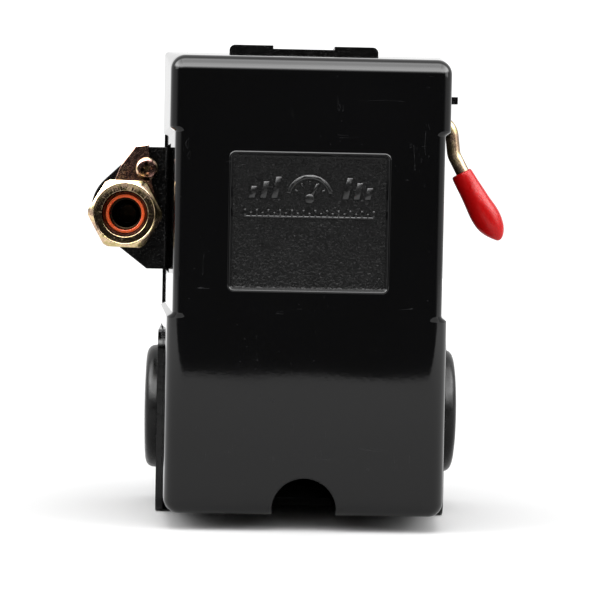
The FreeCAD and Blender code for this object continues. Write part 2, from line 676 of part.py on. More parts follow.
def unloader_body():
    neck_front = BRACKET_Y - RETAINER
    seat = 34.0
    tail = 43.0
    profile = [
        (3.0, SLEEVE_Y[1]), (VALVE_THREAD_R, SLEEVE_Y[1]), (VALVE_THREAD_R, NUT_BACK + 0.3),
        (VALVE_BODY_R, NUT_BACK + 0.3), (VALVE_BODY_R, neck_front), (VALVE_NECK_R, neck_front),
        (VALVE_NECK_R, BRACKET_Y), (VALVE_THREAD_R, BRACKET_Y), (VALVE_THREAD_R, 40.0),
        (4.0, 40.8), (4.0, tail), (2.0, tail), (2.0, seat), (3.5, seat), (3.5, 24.0), (2.0, 24.0),
        (2.0, 22.6), (3.0, 21.6),
    ]
    return turned_y(profile, VALVE_X, VALVE_Z)


def unloader_nut():
    """A tube nut: a chamfered hexagon with a countersunk mouth."""
    hexagon = hexagon_y(NUT_FLATS, VALVE_X, VALVE_Z, NUT_FRONT, NUT_BACK)
    vertex_r = NUT_FLATS / math.sqrt(3)
    face_r = 6.5
    drop = (vertex_r - face_r) * math.tan(math.radians(30))
    blank = [(0, NUT_FRONT), (face_r, NUT_FRONT), (vertex_r, NUT_FRONT + drop), (vertex_r, NUT_BACK), (0, NUT_BACK)]
    nut = hexagon.common(turned_y(blank, VALVE_X, VALVE_Z))
    bore = [(0, NUT_FRONT - 1), (4.6, NUT_FRONT - 1), (4.6, NUT_FRONT + 1.2), (SLEEVE_R, SLEEVE_Y[0]),
            (SLEEVE_R, SLEEVE_Y[1]), (VALVE_THREAD_R, SLEEVE_Y[1]), (VALVE_THREAD_R, NUT_BACK + 1),
            (0, NUT_BACK + 1)]
    return nut.cut(turned_y(bore, VALVE_X, VALVE_Z)).removeSplitter()


def tube_sleeve():
    return tube_y(SLEEVE_R, SLEEVE_BORE_R, VALVE_X, VALVE_Z, *SLEEVE_Y)


def valve_retainer():
    """A flat forked plate in the valve's groove, held to the bracket by one screw."""
    y = (BRACKET_Y - RETAINER, BRACKET_Y)
    corners = [(-36.8, 79.3), (-34.0, 79.7), (-33.1, 71.3), (-32.4, 68.6), (-32.4, 61.0),
               (-44.4, 61.0), (-44.4, 68.0), (-41.1, 72.2), (-39.9, 75.2)]
    plate = prism_y(corners, *y)
    fork = rod_y(VALVE_NECK_R, VALVE_X, VALVE_Z, y[0] - 1, y[1] + 1)
    fork = fork.fuse(box((VALVE_X - VALVE_NECK_R, VALVE_X + VALVE_NECK_R), (y[0] - 1, y[1] + 1), (50, VALVE_Z)))
    plate = plate.cut(fork)
    return plate.cut(rod_y(1.5, *RETAINER_SCREW_AT, y[0] - 1, y[1] + 1))


def retainer_screw():
    return screw_y(*RETAINER_SCREW_AT, 1.5, BRACKET_Y - RETAINER, BRACKET_Y + BRACKET_THICK + 1, 2.5, 1.9, True)


def unloader_pin():
    pin = rod_y(1.4, VALVE_X, VALVE_Z, 31.0, ARM_FRONT - TIP_GAP)
    return pin.fuse(rod_y(3.0, VALVE_X, VALVE_Z, 31.0, 33.2)).removeSplitter()


def unloader_seal():
    return tube_y(3.0, 1.4, VALVE_X, VALVE_Z, 33.2, 33.95)


# ---- lever --------------------------------------------------------------------------------------
def lever_path():
    lean = math.radians(LEVER_KINK_DEG)
    outward = V(math.sin(lean), 0, -math.cos(lean))
    kink_x, kink_z = LEVER_KINK_AT
    kink = V(kink_x, LEVER_Y, kink_z)
    return kink, outward


def lever_wire():
    kink, outward = lever_path()
    points = [
        V(FINGER_X, LEVER_Y, FINGER_TOP),
        V(FINGER_X, LEVER_Y, LEVER_Z),
        V(LEVER_DROP_X, LEVER_Y, LEVER_Z),
        kink,
        kink + outward * (GRIP_FROM_KINK + GRIP_LENGTH - 3.0),
    ]
    return bent_wire(points, WIRE_R, LEVER_BEND_R)


def lever_grip():
    kink, outward = lever_path()
    start, neck, full = GRIP_R
    shoulder = GRIP_LENGTH - 2.4
    profile = [(0, 0), (start, 0), (neck, 3.0), (full, 9.0), (full, shoulder), (full - 1.0, GRIP_LENGTH - 0.6),
               (full - 2.0, GRIP_LENGTH), (0, GRIP_LENGTH)]
    outline = Part.makePolygon([V(r, 0, along) for r, along in profile + profile[:1]])
    grip = Part.Face(outline).revolve(V(0, 0, 0), Z_AXIS, 360)
    grip.Placement = FreeCAD.Placement(kink + outward * GRIP_FROM_KINK, FreeCAD.Rotation(Z_AXIS, outward))
    return grip.cut(lever_wire())


def lever_clip():
    x = CHEEK_X + STEEL + 0.3
    ring = rod_x(WIRE_R + 2.0, LEVER_Y, LEVER_Z, x, x + 0.8)
    ring = ring.cut(rod_x(WIRE_R, LEVER_Y, LEVER_Z, x - 1, x + 2))
    return ring.cut(box((x - 1, x + 2), (LEVER_Y - 1.0, LEVER_Y + 1.0), (LEVER_Z, LEVER_Z + 6)))


# ---- write every piece --------------------------------------------------------------------------
RANGE_NUT = (10.0, 5.0)
DIFF_NUT = (7.0, 3.6)
SEAT = 1.4
SPRING_GAP = 0.05

PIECES = {
    "front_cover": front_cover(),
    "base_frame": base_frame(),
    "conduit_plug_left": conduit_plug(-1),
    "conduit_plug_right": conduit_plug(1),
    "diaphragm": diaphragm(),
    "pressure_flange": pressure_flange(),
    "port_fitting": port_fitting(),
    "flange_screws": flange_screws(),
    "diaphragm_pusher": diaphragm_pusher(),
    "rocker_bracket": rocker_bracket(),
    "bracket_rivets": bracket_rivets(),
    "pivot_pin": pivot_pin(),
    "pivot_clips": pivot_clips(),
    "rocker_arm": rocker_arm(),
    "range_stud": stud(RANGE_AT, RANGE_STUD_R, RANGE_SEAT_Y - 6.4),
    "range_spring": spring_y(RANGE_SPRING_R, RANGE_WIRE_R, *RANGE_AT, RANGE_SEAT_Y + SEAT + SPRING_GAP,
                             ARM_FRONT - SPRING_GAP, 6),
    "range_seat": adjuster_seat(RANGE_AT, RANGE_STUD_R, 8.0, RANGE_SEAT_Y, SEAT),
    "range_nut": adjuster_nut(RANGE_AT, RANGE_STUD_R, *RANGE_NUT, RANGE_SEAT_Y),
    "differential_stud": stud(DIFF_AT, DIFF_STUD_R, DIFF_SEAT_Y - 5.0),
    "differential_spring": spring_y(DIFF_SPRING_R, DIFF_WIRE_R, *DIFF_AT, DIFF_SEAT_Y + SEAT + SPRING_GAP,
                                    ARM_FRONT - SPRING_GAP, 8),
    "differential_seat": adjuster_seat(DIFF_AT, DIFF_STUD_R, 5.0, DIFF_SEAT_Y, SEAT),
    "differential_nut": adjuster_nut(DIFF_AT, DIFF_STUD_R, *DIFF_NUT, DIFF_SEAT_Y),
    "contact_block": contact_block(),
    "block_screws": block_screws(),
    "terminal_strips": terminal_strips(),
    "terminal_screws": terminal_screws(),
    "fixed_contacts": contact_buttons(FIXED_FACE, BLOCK_Y[0] - STRIP),
    "moving_contacts": contact_buttons(BRIDGE_BACK, MOVING_FACE),
    "contact_bridges": contact_bridges(),
    "contact_springs": contact_springs(),
    "contact_carrier": contact_carrier(),
    "ground_screw": screw_y(*GROUND_SCREW_AT, SMALL_SCREW_R, PLATE_Y, PLATE_BACK, 3.8, 2.6, True),
    "unloader_bracket": unloader_bracket(),
    "bracket_screws": bracket_screws(),
    "unloader_body": unloader_body(),
    "unloader_nut": unloader_nut(),
    "tube_sleeve": tube_sleeve(),
    "valve_retainer": valve_retainer(),
    "retainer_screw": retainer_screw(),
    "unloader_pin": unloader_pin(),
    "unloader_spring": spring_y(2.2, 0.35, VALVE_X, VALVE_Z, 24.05, 30.95, 5),
    "unloader_seal": unloader_seal(),
    "lever_wire": lever_wire(),
    "lever_grip": lever_grip(),
    "lever_clip": lever_clip(),
}

os.makedirs("parts", exist_ok=True)
for name, piece in PIECES.items():
    piece.translate(V(0, -PORT_MOUTH_Y, -PORT_Z))
    piece.exportStep(f"parts/{name}.step")
    sound = "ok" if piece.isValid() else "NOT VALID"
    print(f"{name}: {len(piece.Solids)} solid(s), {piece.Volume / 1000:.2f} cm3, {sound}")
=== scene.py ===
import random
from math import cos, hypot, pi, radians, sin, sqrt, tan

import bmesh
import bpy
from mathutils import Matrix, Vector


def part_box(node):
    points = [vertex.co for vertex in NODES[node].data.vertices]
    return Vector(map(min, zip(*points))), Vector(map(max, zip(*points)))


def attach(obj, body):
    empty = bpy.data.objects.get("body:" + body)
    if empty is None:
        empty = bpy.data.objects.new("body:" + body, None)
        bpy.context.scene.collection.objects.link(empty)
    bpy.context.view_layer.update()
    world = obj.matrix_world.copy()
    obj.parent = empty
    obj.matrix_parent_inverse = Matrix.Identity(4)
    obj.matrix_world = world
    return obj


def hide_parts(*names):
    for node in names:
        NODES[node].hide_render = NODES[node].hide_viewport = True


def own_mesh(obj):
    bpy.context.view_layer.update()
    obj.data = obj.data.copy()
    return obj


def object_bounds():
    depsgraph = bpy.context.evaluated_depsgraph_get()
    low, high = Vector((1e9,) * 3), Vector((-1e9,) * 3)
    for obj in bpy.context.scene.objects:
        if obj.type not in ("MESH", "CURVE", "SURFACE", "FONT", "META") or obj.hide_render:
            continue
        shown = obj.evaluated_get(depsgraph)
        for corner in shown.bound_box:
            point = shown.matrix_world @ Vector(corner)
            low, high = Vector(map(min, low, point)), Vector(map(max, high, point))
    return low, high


# An air compressor pressure switch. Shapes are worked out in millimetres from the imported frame, in its own
# axes: X across, Y back from the cover's face, Z up. Meshes are written in metres.

MM = 0.001
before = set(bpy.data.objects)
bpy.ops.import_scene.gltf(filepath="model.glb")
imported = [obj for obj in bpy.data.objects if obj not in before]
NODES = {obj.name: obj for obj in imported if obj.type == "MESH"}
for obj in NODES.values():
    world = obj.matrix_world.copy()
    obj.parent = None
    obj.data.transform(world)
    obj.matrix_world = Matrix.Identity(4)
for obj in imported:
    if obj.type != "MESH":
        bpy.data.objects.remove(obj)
cad_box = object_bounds()
ALONG_Y = (0, 1, 0)


def low_high(node):
    """A CAD node's lowest and highest corners, in millimetres."""
    return [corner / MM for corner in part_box(node)]


def centre(node):
    low, high = low_high(node)
    return (low + high) / 2


def middle_xz(low, high):
    return (low.x + high.x) / 2, (low.z + high.z) / 2


def spread(low, high, count):
    return [low + (high - low) * i / (count - 1) for i in range(count)]


def circle(count):
    """Angles once round, without the last one that would repeat the first."""
    return [2 * pi * i / count for i in range(count)]


COVER_LOW, COVER_HIGH = low_high("front_cover")
FLOOR_Z = cad_box[0][2] / MM
FACE_Y = COVER_LOW.y
random.seed(7)


# ---- mesh helpers
def add_object(name, data):
    obj = bpy.data.objects.new(name, data)
    bpy.context.scene.collection.objects.link(obj)
    return obj


def smooth(mesh, degrees=32):
    mesh.polygons.foreach_set("use_smooth", [True] * len(mesh.polygons))
    mesh.set_sharp_from_angle(angle=radians(degrees))


def mesh_object(name, points, faces, degrees=32):
    """An object from points in millimetres."""
    mesh = bpy.data.meshes.new(name)
    mesh.from_pydata([tuple(c * MM for c in p) for p in points], [], faces)
    mesh.update()
    smooth(mesh, degrees)
    return add_object(name, mesh)


def join_rings(rings, capped=True):
    """Points and faces of a skin through rings that all have the same number of points."""
    n = len(rings[0])
    points = [p for ring in rings for p in ring]
    faces = []
    for k in range(len(rings) - 1):
        for i in range(n):
            j = (i + 1) % n
            faces.append((k * n + i, k * n + j, (k + 1) * n + j, (k + 1) * n + i))
    if capped:
        faces.append(tuple(reversed(range(n))))
        faces.append(tuple(range((len(rings) - 1) * n, len(rings) * n)))
    return points, faces


def skin(name, rings, degrees=32, capped=True):
    """A cleaned object whose surface runs through rings of points."""
    return clean(mesh_object(name, *join_rings(rings, capped), degrees), degrees)


def lathe(name, profile, place, direction=ALONG_Y, segments=96, degrees=32, closed=False):
    """A turned piece: (radius, along) points in millimetres about a line through place."""
    turn = Vector(direction).to_track_quat("Z", "Y").to_matrix()
    rings = []
    for r, along in profile + (profile[:1] if closed else []):
        around = [Vector((r * cos(a), r * sin(a), along)) for a in circle(segments)]
        rings.append([tuple(Vector(place) + turn @ point) for point in around])
    return skin(name, rings, degrees, capped=not closed)


def clean(obj, degrees=32):
    """Merges points that coincide, drops empty faces and turns every face outwards."""
    work = bmesh.new()
    work.from_mesh(obj.data)
    bmesh.ops.remove_doubles(work, verts=work.verts, dist=1e-7)
    bmesh.ops.dissolve_degenerate(work, edges=work.edges, dist=1e-7)
    bmesh.ops.recalc_face_normals(work, faces=work.faces)
    work.to_mesh(obj.data)
    work.free()
    smooth(obj.data, degrees)
    return obj


def rounded_corners(corners, segments=6):
    """A closed outline from (x, z, radius) corners, with arcs in place of the sharp corners."""
    outline = []
    n = len(corners)
    for i in range(n):
        x, z, r = corners[i]
        here = Vector((x, z))
        before = Vector(corners[i - 1][:2]) - here
        after = Vector(corners[(i + 1) % n][:2]) - here
        if r <= 0:
            outline.append((x, z))
            continue
        half = before.angle(after) / 2
        reach = min(r / tan(half), before.length * 0.49, after.length * 0.49)
        r = reach * tan(half)
        centre = here + (before.normalized() + after.normalized()).normalized() * (r / sin(half))
        first = here + before.normalized() * reach - centre
        second = here + after.normalized() * reach - centre
        sweep = first.angle_signed(second)
        for k in range(segments + 1):
            a = -sweep * k / segments
            c, s = cos(a), sin(a)
            outline.append((centre.x + first.x * c - first.y * s, centre.y + first.x * s + first.y * c))
    return outline


def plate_object(name, outline, y0, y1, bevel, degrees=30):
    """A flat plate with small rounded edges from an (x, z) outline."""
    work = bmesh.new()
    work.faces.new([work.verts.new((x * MM, y0 * MM, z * MM)) for x, z in outline])
    made = bmesh.ops.extrude_face_region(work, geom=work.faces[:])
    moved = [v for v in made["geom"] if isinstance(v, bmesh.types.BMVert)]
    bmesh.ops.translate(work, verts=moved, vec=(0, (y1 - y0) * MM, 0))
    bmesh.ops.recalc_face_normals(work, faces=work.faces)
    mesh = bpy.data.meshes.new(name)
    work.to_mesh(mesh)
    work.free()
    obj = add_object(name, mesh)
    round_edges(obj, bevel)
    smooth(obj.data, degrees)
    return obj


def evaluated(obj):
    """Applies an object's modifiers to its mesh."""
    graph = bpy.context.evaluated_depsgraph_get()
    mesh = bpy.data.meshes.new_from_object(obj.evaluated_get(graph))
    obj.modifiers.clear()
    old = obj.data
    obj.data = mesh
    bpy.data.meshes.remove(old)


def cut_away(obj, cutter, operation="DIFFERENCE"):
    """Cuts one object with another, which is then removed."""
    tool = obj.modifiers.new("cut", "BOOLEAN")
    tool.operation = operation
    tool.solver = "EXACT"
    tool.object = cutter
    evaluated(obj)
    bpy.data.objects.remove(cutter)


def round_edges(obj, width, segments=2, degrees=35):
    tool = obj.modifiers.new("round", "BEVEL")
    tool.width = width * MM
    tool.segments = segments
    tool.limit_method = "ANGLE"
    tool.angle_limit = radians(degrees)
    evaluated(obj)


def cut_block(obj, low, high):
    """Cuts a plain block out of an object."""
    xs, ys, zs = zip(low, high)
    points = [(x, y, z) for x in xs for y in ys for z in zs]
    faces = [(0, 1, 3, 2), (4, 6, 7, 5), (0, 4, 5, 1), (2, 3, 7, 6), (0, 2, 6, 4), (1, 5, 7, 3)]
    cut_away(obj, clean(mesh_object("cutter", points, faces)))


def joined(name, objects):
    """One object from several."""
    work = bmesh.new()
    for obj in objects:
        work.from_mesh(obj.data)
    mesh = bpy.data.meshes.new(name)
    work.to_mesh(mesh)
    work.free()
    for obj in objects:
        bpy.data.objects.remove(obj)
    return add_object(name, mesh)


# ---- material helpers
class Shader:
    """A small builder for one procedural material."""

    def __init__(self, name, **settings):
        self.material = bpy.data.materials.new(name)
        self.material.use_nodes = True
        self.nodes = self.material.node_tree.nodes
        self.links = self.material.node_tree.links
        self.surface = self.nodes["Principled BSDF"]
        for key, value in settings.items():
            self.surface.inputs[key].default_value = value
        self.place = self.nodes.new("ShaderNodeTexCoord").outputs["Object"]

    def node(self, kind, inputs=None, **attributes):
        made = self.nodes.new(kind)
        for key, value in attributes.items():
            setattr(made, key, value)
        for key, value in (inputs or {}).items():
            if isinstance(value, bpy.types.NodeSocket):
                self.links.new(value, made.inputs[key])
            else:
                made.inputs[key].default_value = value
        return made

    def stretched(self, x, y, z):
        """The object's own coordinates, scaled on each axis."""
        return self.node("ShaderNodeMapping", {"Vector": self.place, "Scale": (x, y, z)}).outputs[0]

    def noise(self, size, detail=4.0, rough=0.55, where=None, distortion=0.0):
        """Noise whose features are about size millimetres."""
        inputs = {"Vector": where or self.place, "Scale": 1 / (size * MM), "Detail": detail}
        inputs.update({"Roughness": rough, "Distortion": distortion})
        return self.node("ShaderNodeTexNoise", inputs).outputs["Fac"]

    def cells(self, size, feature="F1", where=None, output="Distance"):
        inputs = {"Vector": where or self.place, "Scale": 1 / (size * MM)}
        return self.node("ShaderNodeTexVoronoi", inputs, feature=feature).outputs[output]

    def ramp(self, fac, *stops):
        """A colour ramp through (position, colour or grey) stops."""
        made = self.node("ShaderNodeValToRGB", {"Fac": fac})
        band = made.color_ramp
        while len(band.elements) < len(stops):
            band.elements.new(0.5)
        for element, (at, colour) in zip(band.elements, stops):
            element.position = at
            grey = isinstance(colour, (int, float))
            element.color = (colour, colour, colour, 1) if grey else (*colour, 1)
        return made.outputs["Color"]

    def mix(self, fac, a, b, blend="MIX"):
        made = self.node("ShaderNodeMix", {"Factor": fac}, data_type="RGBA", blend_type=blend)
        for index, value in ((6, a), (7, b)):
            if isinstance(value, bpy.types.NodeSocket):
                self.links.new(value, made.inputs[index])
            else:
                made.inputs[index].default_value = (*value, 1)
        return made.outputs[2]

    def math(self, operation, a, b=0.0):
        return self.node("ShaderNodeMath", {0: a, 1: b}, operation=operation).outputs[0]

    def bump(self, height, distance, strength=1.0, under=None):
        """A bump of the given height in millimetres."""
        inputs = {"Height": height, "Distance": distance * MM, "Strength": strength}
        if under is not None:
            inputs["Normal"] = under
        return self.node("ShaderNodeBump", inputs).outputs["Normal"]

    def gloss(self, size, detail, low, high, at=(0.3, 0.7), rough=0.55):
        """Roughness that varies in patches from low to high."""
        return self.ramp(self.noise(size, detail, rough), (at[0], low), (at[1], high))

    def patches(self, size, detail, low, high, rough=0.55):
        """A mask of patches that fades in from low to high."""
        return self.ramp(self.noise(size, detail, rough), (low, 0), (high, 1))

    def wire(self, colour, rough, normal):
        for key, value in (("Base Color", colour), ("Roughness", rough), ("Normal", normal)):
            self.links.new(value, self.surface.inputs[key])
        return self.material


def srgb(r, g, b):
    """A linear colour from the 0 to 255 values seen on a screen."""
    return tuple(((c / 255 + 0.055) / 1.055) ** 2.4 if c > 10 else c / 255 / 12.92 for c in (r, g, b))


# ---- materials
def cover_plastic():
    """Polished black moulding: faint flow waves, a fine skin, hairline scratches and a little dust."""
    s = Shader("cover_plastic", **{"IOR": 1.35})
    hairline = ((0.70, 0), (0.72, 1), (0.74, 0))
    level = s.ramp(s.noise(1.6, 2, where=s.stretched(0.16, 1, 1.3), distortion=0.8), *hairline)
    steep = s.ramp(s.noise(1.8, 2, where=s.stretched(1.2, 1, 0.3), distortion=1.2), *hairline)
    scratches = s.math("MULTIPLY", s.math("MAXIMUM", level, steep), s.patches(14, 3, 0.48, 0.62))
    motes = s.ramp(s.cells(1.5), (0.0, 1), (0.045, 1), (0.07, 0))
    dust = s.math("MULTIPLY", motes, s.patches(9, 2, 0.5, 0.58))
    marks = s.math("MAXIMUM", scratches, dust)
    colour = s.mix(s.noise(22, 3), srgb(7, 7, 7), srgb(10, 10, 11))
    colour = s.mix(s.math("MULTIPLY", marks, 0.2), colour, srgb(70, 70, 72))
    rough = s.math("ADD", s.math("MULTIPLY", s.noise(18, 4), 0.05), s.math("MULTIPLY", marks, 0.25))
    rough = s.math("ADD", rough, 0.02)
    waves = s.bump(s.noise(34, 1), 0.09)
    skin = s.bump(s.noise(0.9, 3), 0.0012, under=waves)
    return s.wire(colour, rough, skin)


def plaque_plastic():
    """The plaque's floor: the same black with a pebbled, spark-eroded grain."""
    s = Shader("plaque_plastic", **{"IOR": 1.29})
    pebble = s.math("SUBTRACT", 1.0, s.cells(0.45, "SMOOTH_F1"))
    grain = s.math("ADD", pebble, s.math("MULTIPLY", s.noise(0.4, 4, 0.6), 1.2))
    # painted shade: the colour follows the grain that also raises the bump, so the pits between pebbles are
    # darker and their tops lighter
    colour = s.mix(s.ramp(grain, (0.55, 0), (1.25, 1)), srgb(3, 3, 3), srgb(14, 14, 14))
    rough = s.gloss(0.5, 3, 0.18, 0.30)
    return s.wire(colour, rough, s.bump(grain, 0.055))


def emblem_plastic():
    """The raised marks: smoother than the plaque's floor, and worn a little on top."""
    s = Shader("emblem_plastic", **{"IOR": 1.5})
    colour = s.mix(s.patches(1.5, 4, 0.45, 0.7), srgb(13, 13, 13), srgb(30, 30, 30))
    rough = s.gloss(0.8, 4, 0.12, 0.30)
    return s.wire(colour, rough, s.bump(s.noise(0.5, 3), 0.006))


def black_paint(name="black_paint", streak=0.0):
    """Black enamel on sheet steel, with orange peel and, where asked, rubbed streaks and specks."""
    s = Shader(name, **{"IOR": 1.33})
    speck = s.ramp(s.noise(0.35, 3, 0.7, where=s.stretched(1, 1, 2.2)), (0.60, 0), (0.72, 1))
    bands = s.ramp(s.noise(3.0, 3, where=s.stretched(0.25, 1, 1.6)), (0.45, 0), (0.65, 1))
    worn = s.math("MULTIPLY", s.math("MULTIPLY", speck, bands), streak)
    colour = s.mix(s.noise(6, 4), srgb(6, 6, 6), srgb(12, 12, 12))
    colour = s.mix(worn, colour, srgb(112, 110, 108))
    rough = s.gloss(2.5, 4, 0.10, 0.22)
    peel = s.bump(s.noise(1.1, 3), 0.02)
    return s.wire(colour, rough, s.bump(speck, 0.01, under=peel))


def yellow_zinc(name="yellow_zinc", warm=0.5, size=3.0, painted_shade=0.0, gloss=(0.05, 0.20)):
    """Yellow passivated zinc: brass to rose and olive patches, darker brown in random patches, with fine
    marks.
    """
    s = Shader(name, **{"Metallic": 1.0})
    tint = s.ramp(
        s.noise(size, 3, 0.6, distortion=0.6),
        (0.30, srgb(160, 146, 104)), (0.42, srgb(206, 188, 134)), (0.52, srgb(228, 202, 168)),
        (0.62, srgb(198, 166, 144)), (0.75, srgb(150, 142, 106)),
    )
    grime = s.patches(size * 0.4, 5, 0.42, 0.70, 0.7)
    colour = s.mix(s.math("MULTIPLY", grime, warm), tint, srgb(92, 70, 50))
    # painted shade: darkens the whole finish towards a dark brown by the given share
    colour = s.mix(painted_shade, colour, srgb(74, 60, 44))
    rough = s.gloss(0.5, 5, *gloss, at=(0.35, 0.68), rough=0.7)
    pits = s.bump(s.noise(0.28, 4, 0.7), 0.008)
    turned = s.noise(0.5, 2, where=s.stretched(1, 0.12, 1))
    return s.wire(colour, rough, s.bump(turned, 0.012, under=pits))


def rose_zinc(name, dark=0.3):
    """Yellow passivation that has gone purple-brown, with rose and gold where it is thin."""
    s = Shader(name, **{"Metallic": 1.0})
    tint = s.ramp(
        s.noise(3.5, 3, 0.6, distortion=0.5),
        (0.30, srgb(214, 176, 150)), (0.45, srgb(188, 146, 132)), (0.58, srgb(150, 112, 104)),
        (0.72, srgb(176, 152, 104)),
    )
    grime = s.patches(1.2, 5, 0.38, 0.66, 0.7)
    colour = s.mix(s.math("MULTIPLY", grime, dark), tint, srgb(70, 48, 52))
    rough = s.gloss(0.7, 5, 0.10, 0.24, at=(0.35, 0.7), rough=0.65)
    return s.wire(colour, rough, s.bump(s.noise(0.5, 5), 0.006))


def bright_zinc(name="bright_zinc", tone=(178, 180, 182), size=3.0):
    """Clear zinc plate on sheet, screws and rods."""
    s = Shader(name, **{"Metallic": 1.0})
    dark = tuple(c * 0.72 for c in tone)
    colour = s.mix(s.patches(size, 4, 0.35, 0.7, 0.6), srgb(*tone), srgb(*dark))
    rough = s.gloss(0.7, 5, 0.22, 0.42, rough=0.6)
    return s.wire(colour, rough, s.bump(s.noise(0.45, 4), 0.006))


def cast_aluminium():
    """A die-cast skin: grey, slightly mottled, with a sandy bump."""
    s = Shader("cast_aluminium", **{"Metallic": 1.0})
    colour = s.mix(s.patches(5, 5, 0.35, 0.7), srgb(176, 178, 180), srgb(138, 140, 143))
    rough = s.gloss(1.0, 5, 0.38, 0.56)
    return s.wire(colour, rough, s.bump(s.noise(0.5, 5, 0.65), 0.05))


def turned_brass(name, light, dark):
    """Brass with fine rings round the turning axis."""
    s = Shader(name, **{"Metallic": 1.0})
    colour = s.mix(s.patches(2.5, 4, 0.35, 0.7), srgb(*light), srgb(*dark))
    rings = s.noise(0.25, 2, where=s.stretched(0.15, 1, 0.15))
    rough = s.gloss(0.9, 4, 0.24, 0.40)
    return s.wire(colour, rough, s.bump(rings, 0.01))


def phenolic():
    """Dark brown moulded phenolic, with fine filler flecks."""
    s = Shader("phenolic", **{"IOR": 1.55})
    flecks = s.patches(0.35, 5, 0.60, 0.75, 0.75)
    colour = s.mix(s.noise(4, 4), srgb(52, 34, 27), srgb(66, 44, 34))
    colour = s.mix(s.math("MULTIPLY", flecks, 0.5), colour, srgb(112, 82, 62))
    rough = s.gloss(2, 4, 0.30, 0.46)
    return s.wire(colour, rough, s.bump(s.noise(0.6, 4), 0.01))


def dipped_vinyl():
    """Red dipped vinyl: glossy and a little translucent, with slow ripples from the dipping."""
    s = Shader("dipped_vinyl", **{"IOR": 1.3, "Subsurface Weight": 0.08, "Subsurface Scale": 0.0012})
    s.surface.inputs["Subsurface Radius"].default_value = (1.0, 0.25, 0.2)
    colour = s.mix(s.noise(5, 3), srgb(200, 10, 10), srgb(180, 6, 8))
    rough = s.gloss(3, 4, 0.24, 0.36)
    ripple = s.bump(s.noise(3.4, 2), 0.10)
    return s.wire(colour, rough, s.bump(s.noise(0.7, 3), 0.004, under=ripple))


def plain(name, tones, light, dark, gloss, grain, **settings):
    """A finish in two tones with uneven gloss and a fine grain, each from a noise of its own."""
    s = Shader(name, **settings)
    colour = s.mix(s.noise(*tones), srgb(*light), srgb(*dark))
    return s.wire(colour, s.gloss(*gloss), s.bump(s.noise(*grain[:2]), grain[2]))


COVER_PLASTIC = cover_plastic()
EMBLEM_PLASTIC = emblem_plastic()
PLAQUE_PLASTIC = plaque_plastic()
BLACK_PAINT = black_paint()
BRACKET_PAINT = black_paint("bracket_paint", streak=0.75)
PLUG_PLASTIC = plain("soft_black_plastic", (5, 4), (9, 9, 9), (15, 15, 15), (1.5, 4, 0.24, 0.36),
                     (0.4, 4, 0.01), IOR=1.28)
YELLOW_ZINC = yellow_zinc()
# painted shade: the lever wire's zinc is darkened by half towards a dark brown
WIRE_ZINC = yellow_zinc("wire_zinc", warm=0.6, size=5.0, painted_shade=0.5, gloss=(0.24, 0.38))
NUT_ZINC = yellow_zinc("nut_zinc", warm=0.6, size=1.8)
ROSE_ZINC = rose_zinc("rose_zinc")
SCREW_ZINC = rose_zinc("screw_zinc", dark=1.0)
# painted shade: a darkened copy of the nut's zinc, for the ring on the nut's face
NUT_FACE_PAINTED_SHADE = yellow_zinc("nut_face_painted_shade", warm=0.8, size=1.2, painted_shade=0.6)
BRIGHT_ZINC = bright_zinc()
SPRING_STEEL = bright_zinc("spring_steel", tone=(118, 120, 124), size=2.0)
SILVER = bright_zinc("silver", tone=(222, 222, 218), size=1.0)
CAST_ALUMINIUM = cast_aluminium()
BRASS = turned_brass("turned_brass", (196, 160, 92), (128, 98, 54))
# painted shade: a near-black copy of the brass, for the valve body and pin deep in the nut's bore and for
# the bore's wall
BRASS_PAINTED_SHADE = turned_brass("brass_painted_shade", (40, 32, 22), (20, 16, 12))
PHENOLIC = phenolic()
RED_VINYL = dipped_vinyl()
ORANGE = plain("orange_sleeve", (1.2, 3), (255, 112, 50), (245, 92, 40), (1, 3, 0.26, 0.40),
               (0.4, 3, 0.008), **{"IOR": 1.46, "Subsurface Weight": 0.3,
                                   "Subsurface Scale": 0.001, "Subsurface Radius": (1.0, 0.4, 0.2)})
RUBBER = plain("black_rubber", (3, 4), (26, 26, 26), (40, 40, 40), (1, 4, 0.55, 0.72),
               (0.5, 4, 0.02), IOR=1.5)
GREEN = plain("green_paint", (1.2, 4), (30, 128, 62), (20, 96, 48), (1, 4, 0.26, 0.42), (0.5, 3, 0.006),
              IOR=1.5, Metallic=0.35)


# ---- putting pieces in the frame
def dress(node, material, round_by):
    """Gives a CAD node its material, with welded points and slightly rounded edges."""
    obj = NODES[node]
    obj.data.materials.clear()
    obj.data.materials.append(material)
    weld = obj.modifiers.new("weld", "WELD")
    weld.merge_threshold = 2e-6
    if round_by:
        flat = obj.modifiers.new("flat", "DECIMATE")
        flat.decimate_type = "DISSOLVE"
        flat.angle_limit = radians(0.5)
        edge = obj.modifiers.new("round", "BEVEL")
        edge.width = round_by * MM
        edge.segments = 2
        edge.limit_method = "ANGLE"
        edge.angle_limit = radians(34)


def stand_for(obj, node, body, material):
    """A detailed piece that shows in place of a CAD node, with the given material, on the given body."""
    obj.data.materials.clear()
    obj.data.materials.append(material)
    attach(obj, body)
    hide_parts(node)


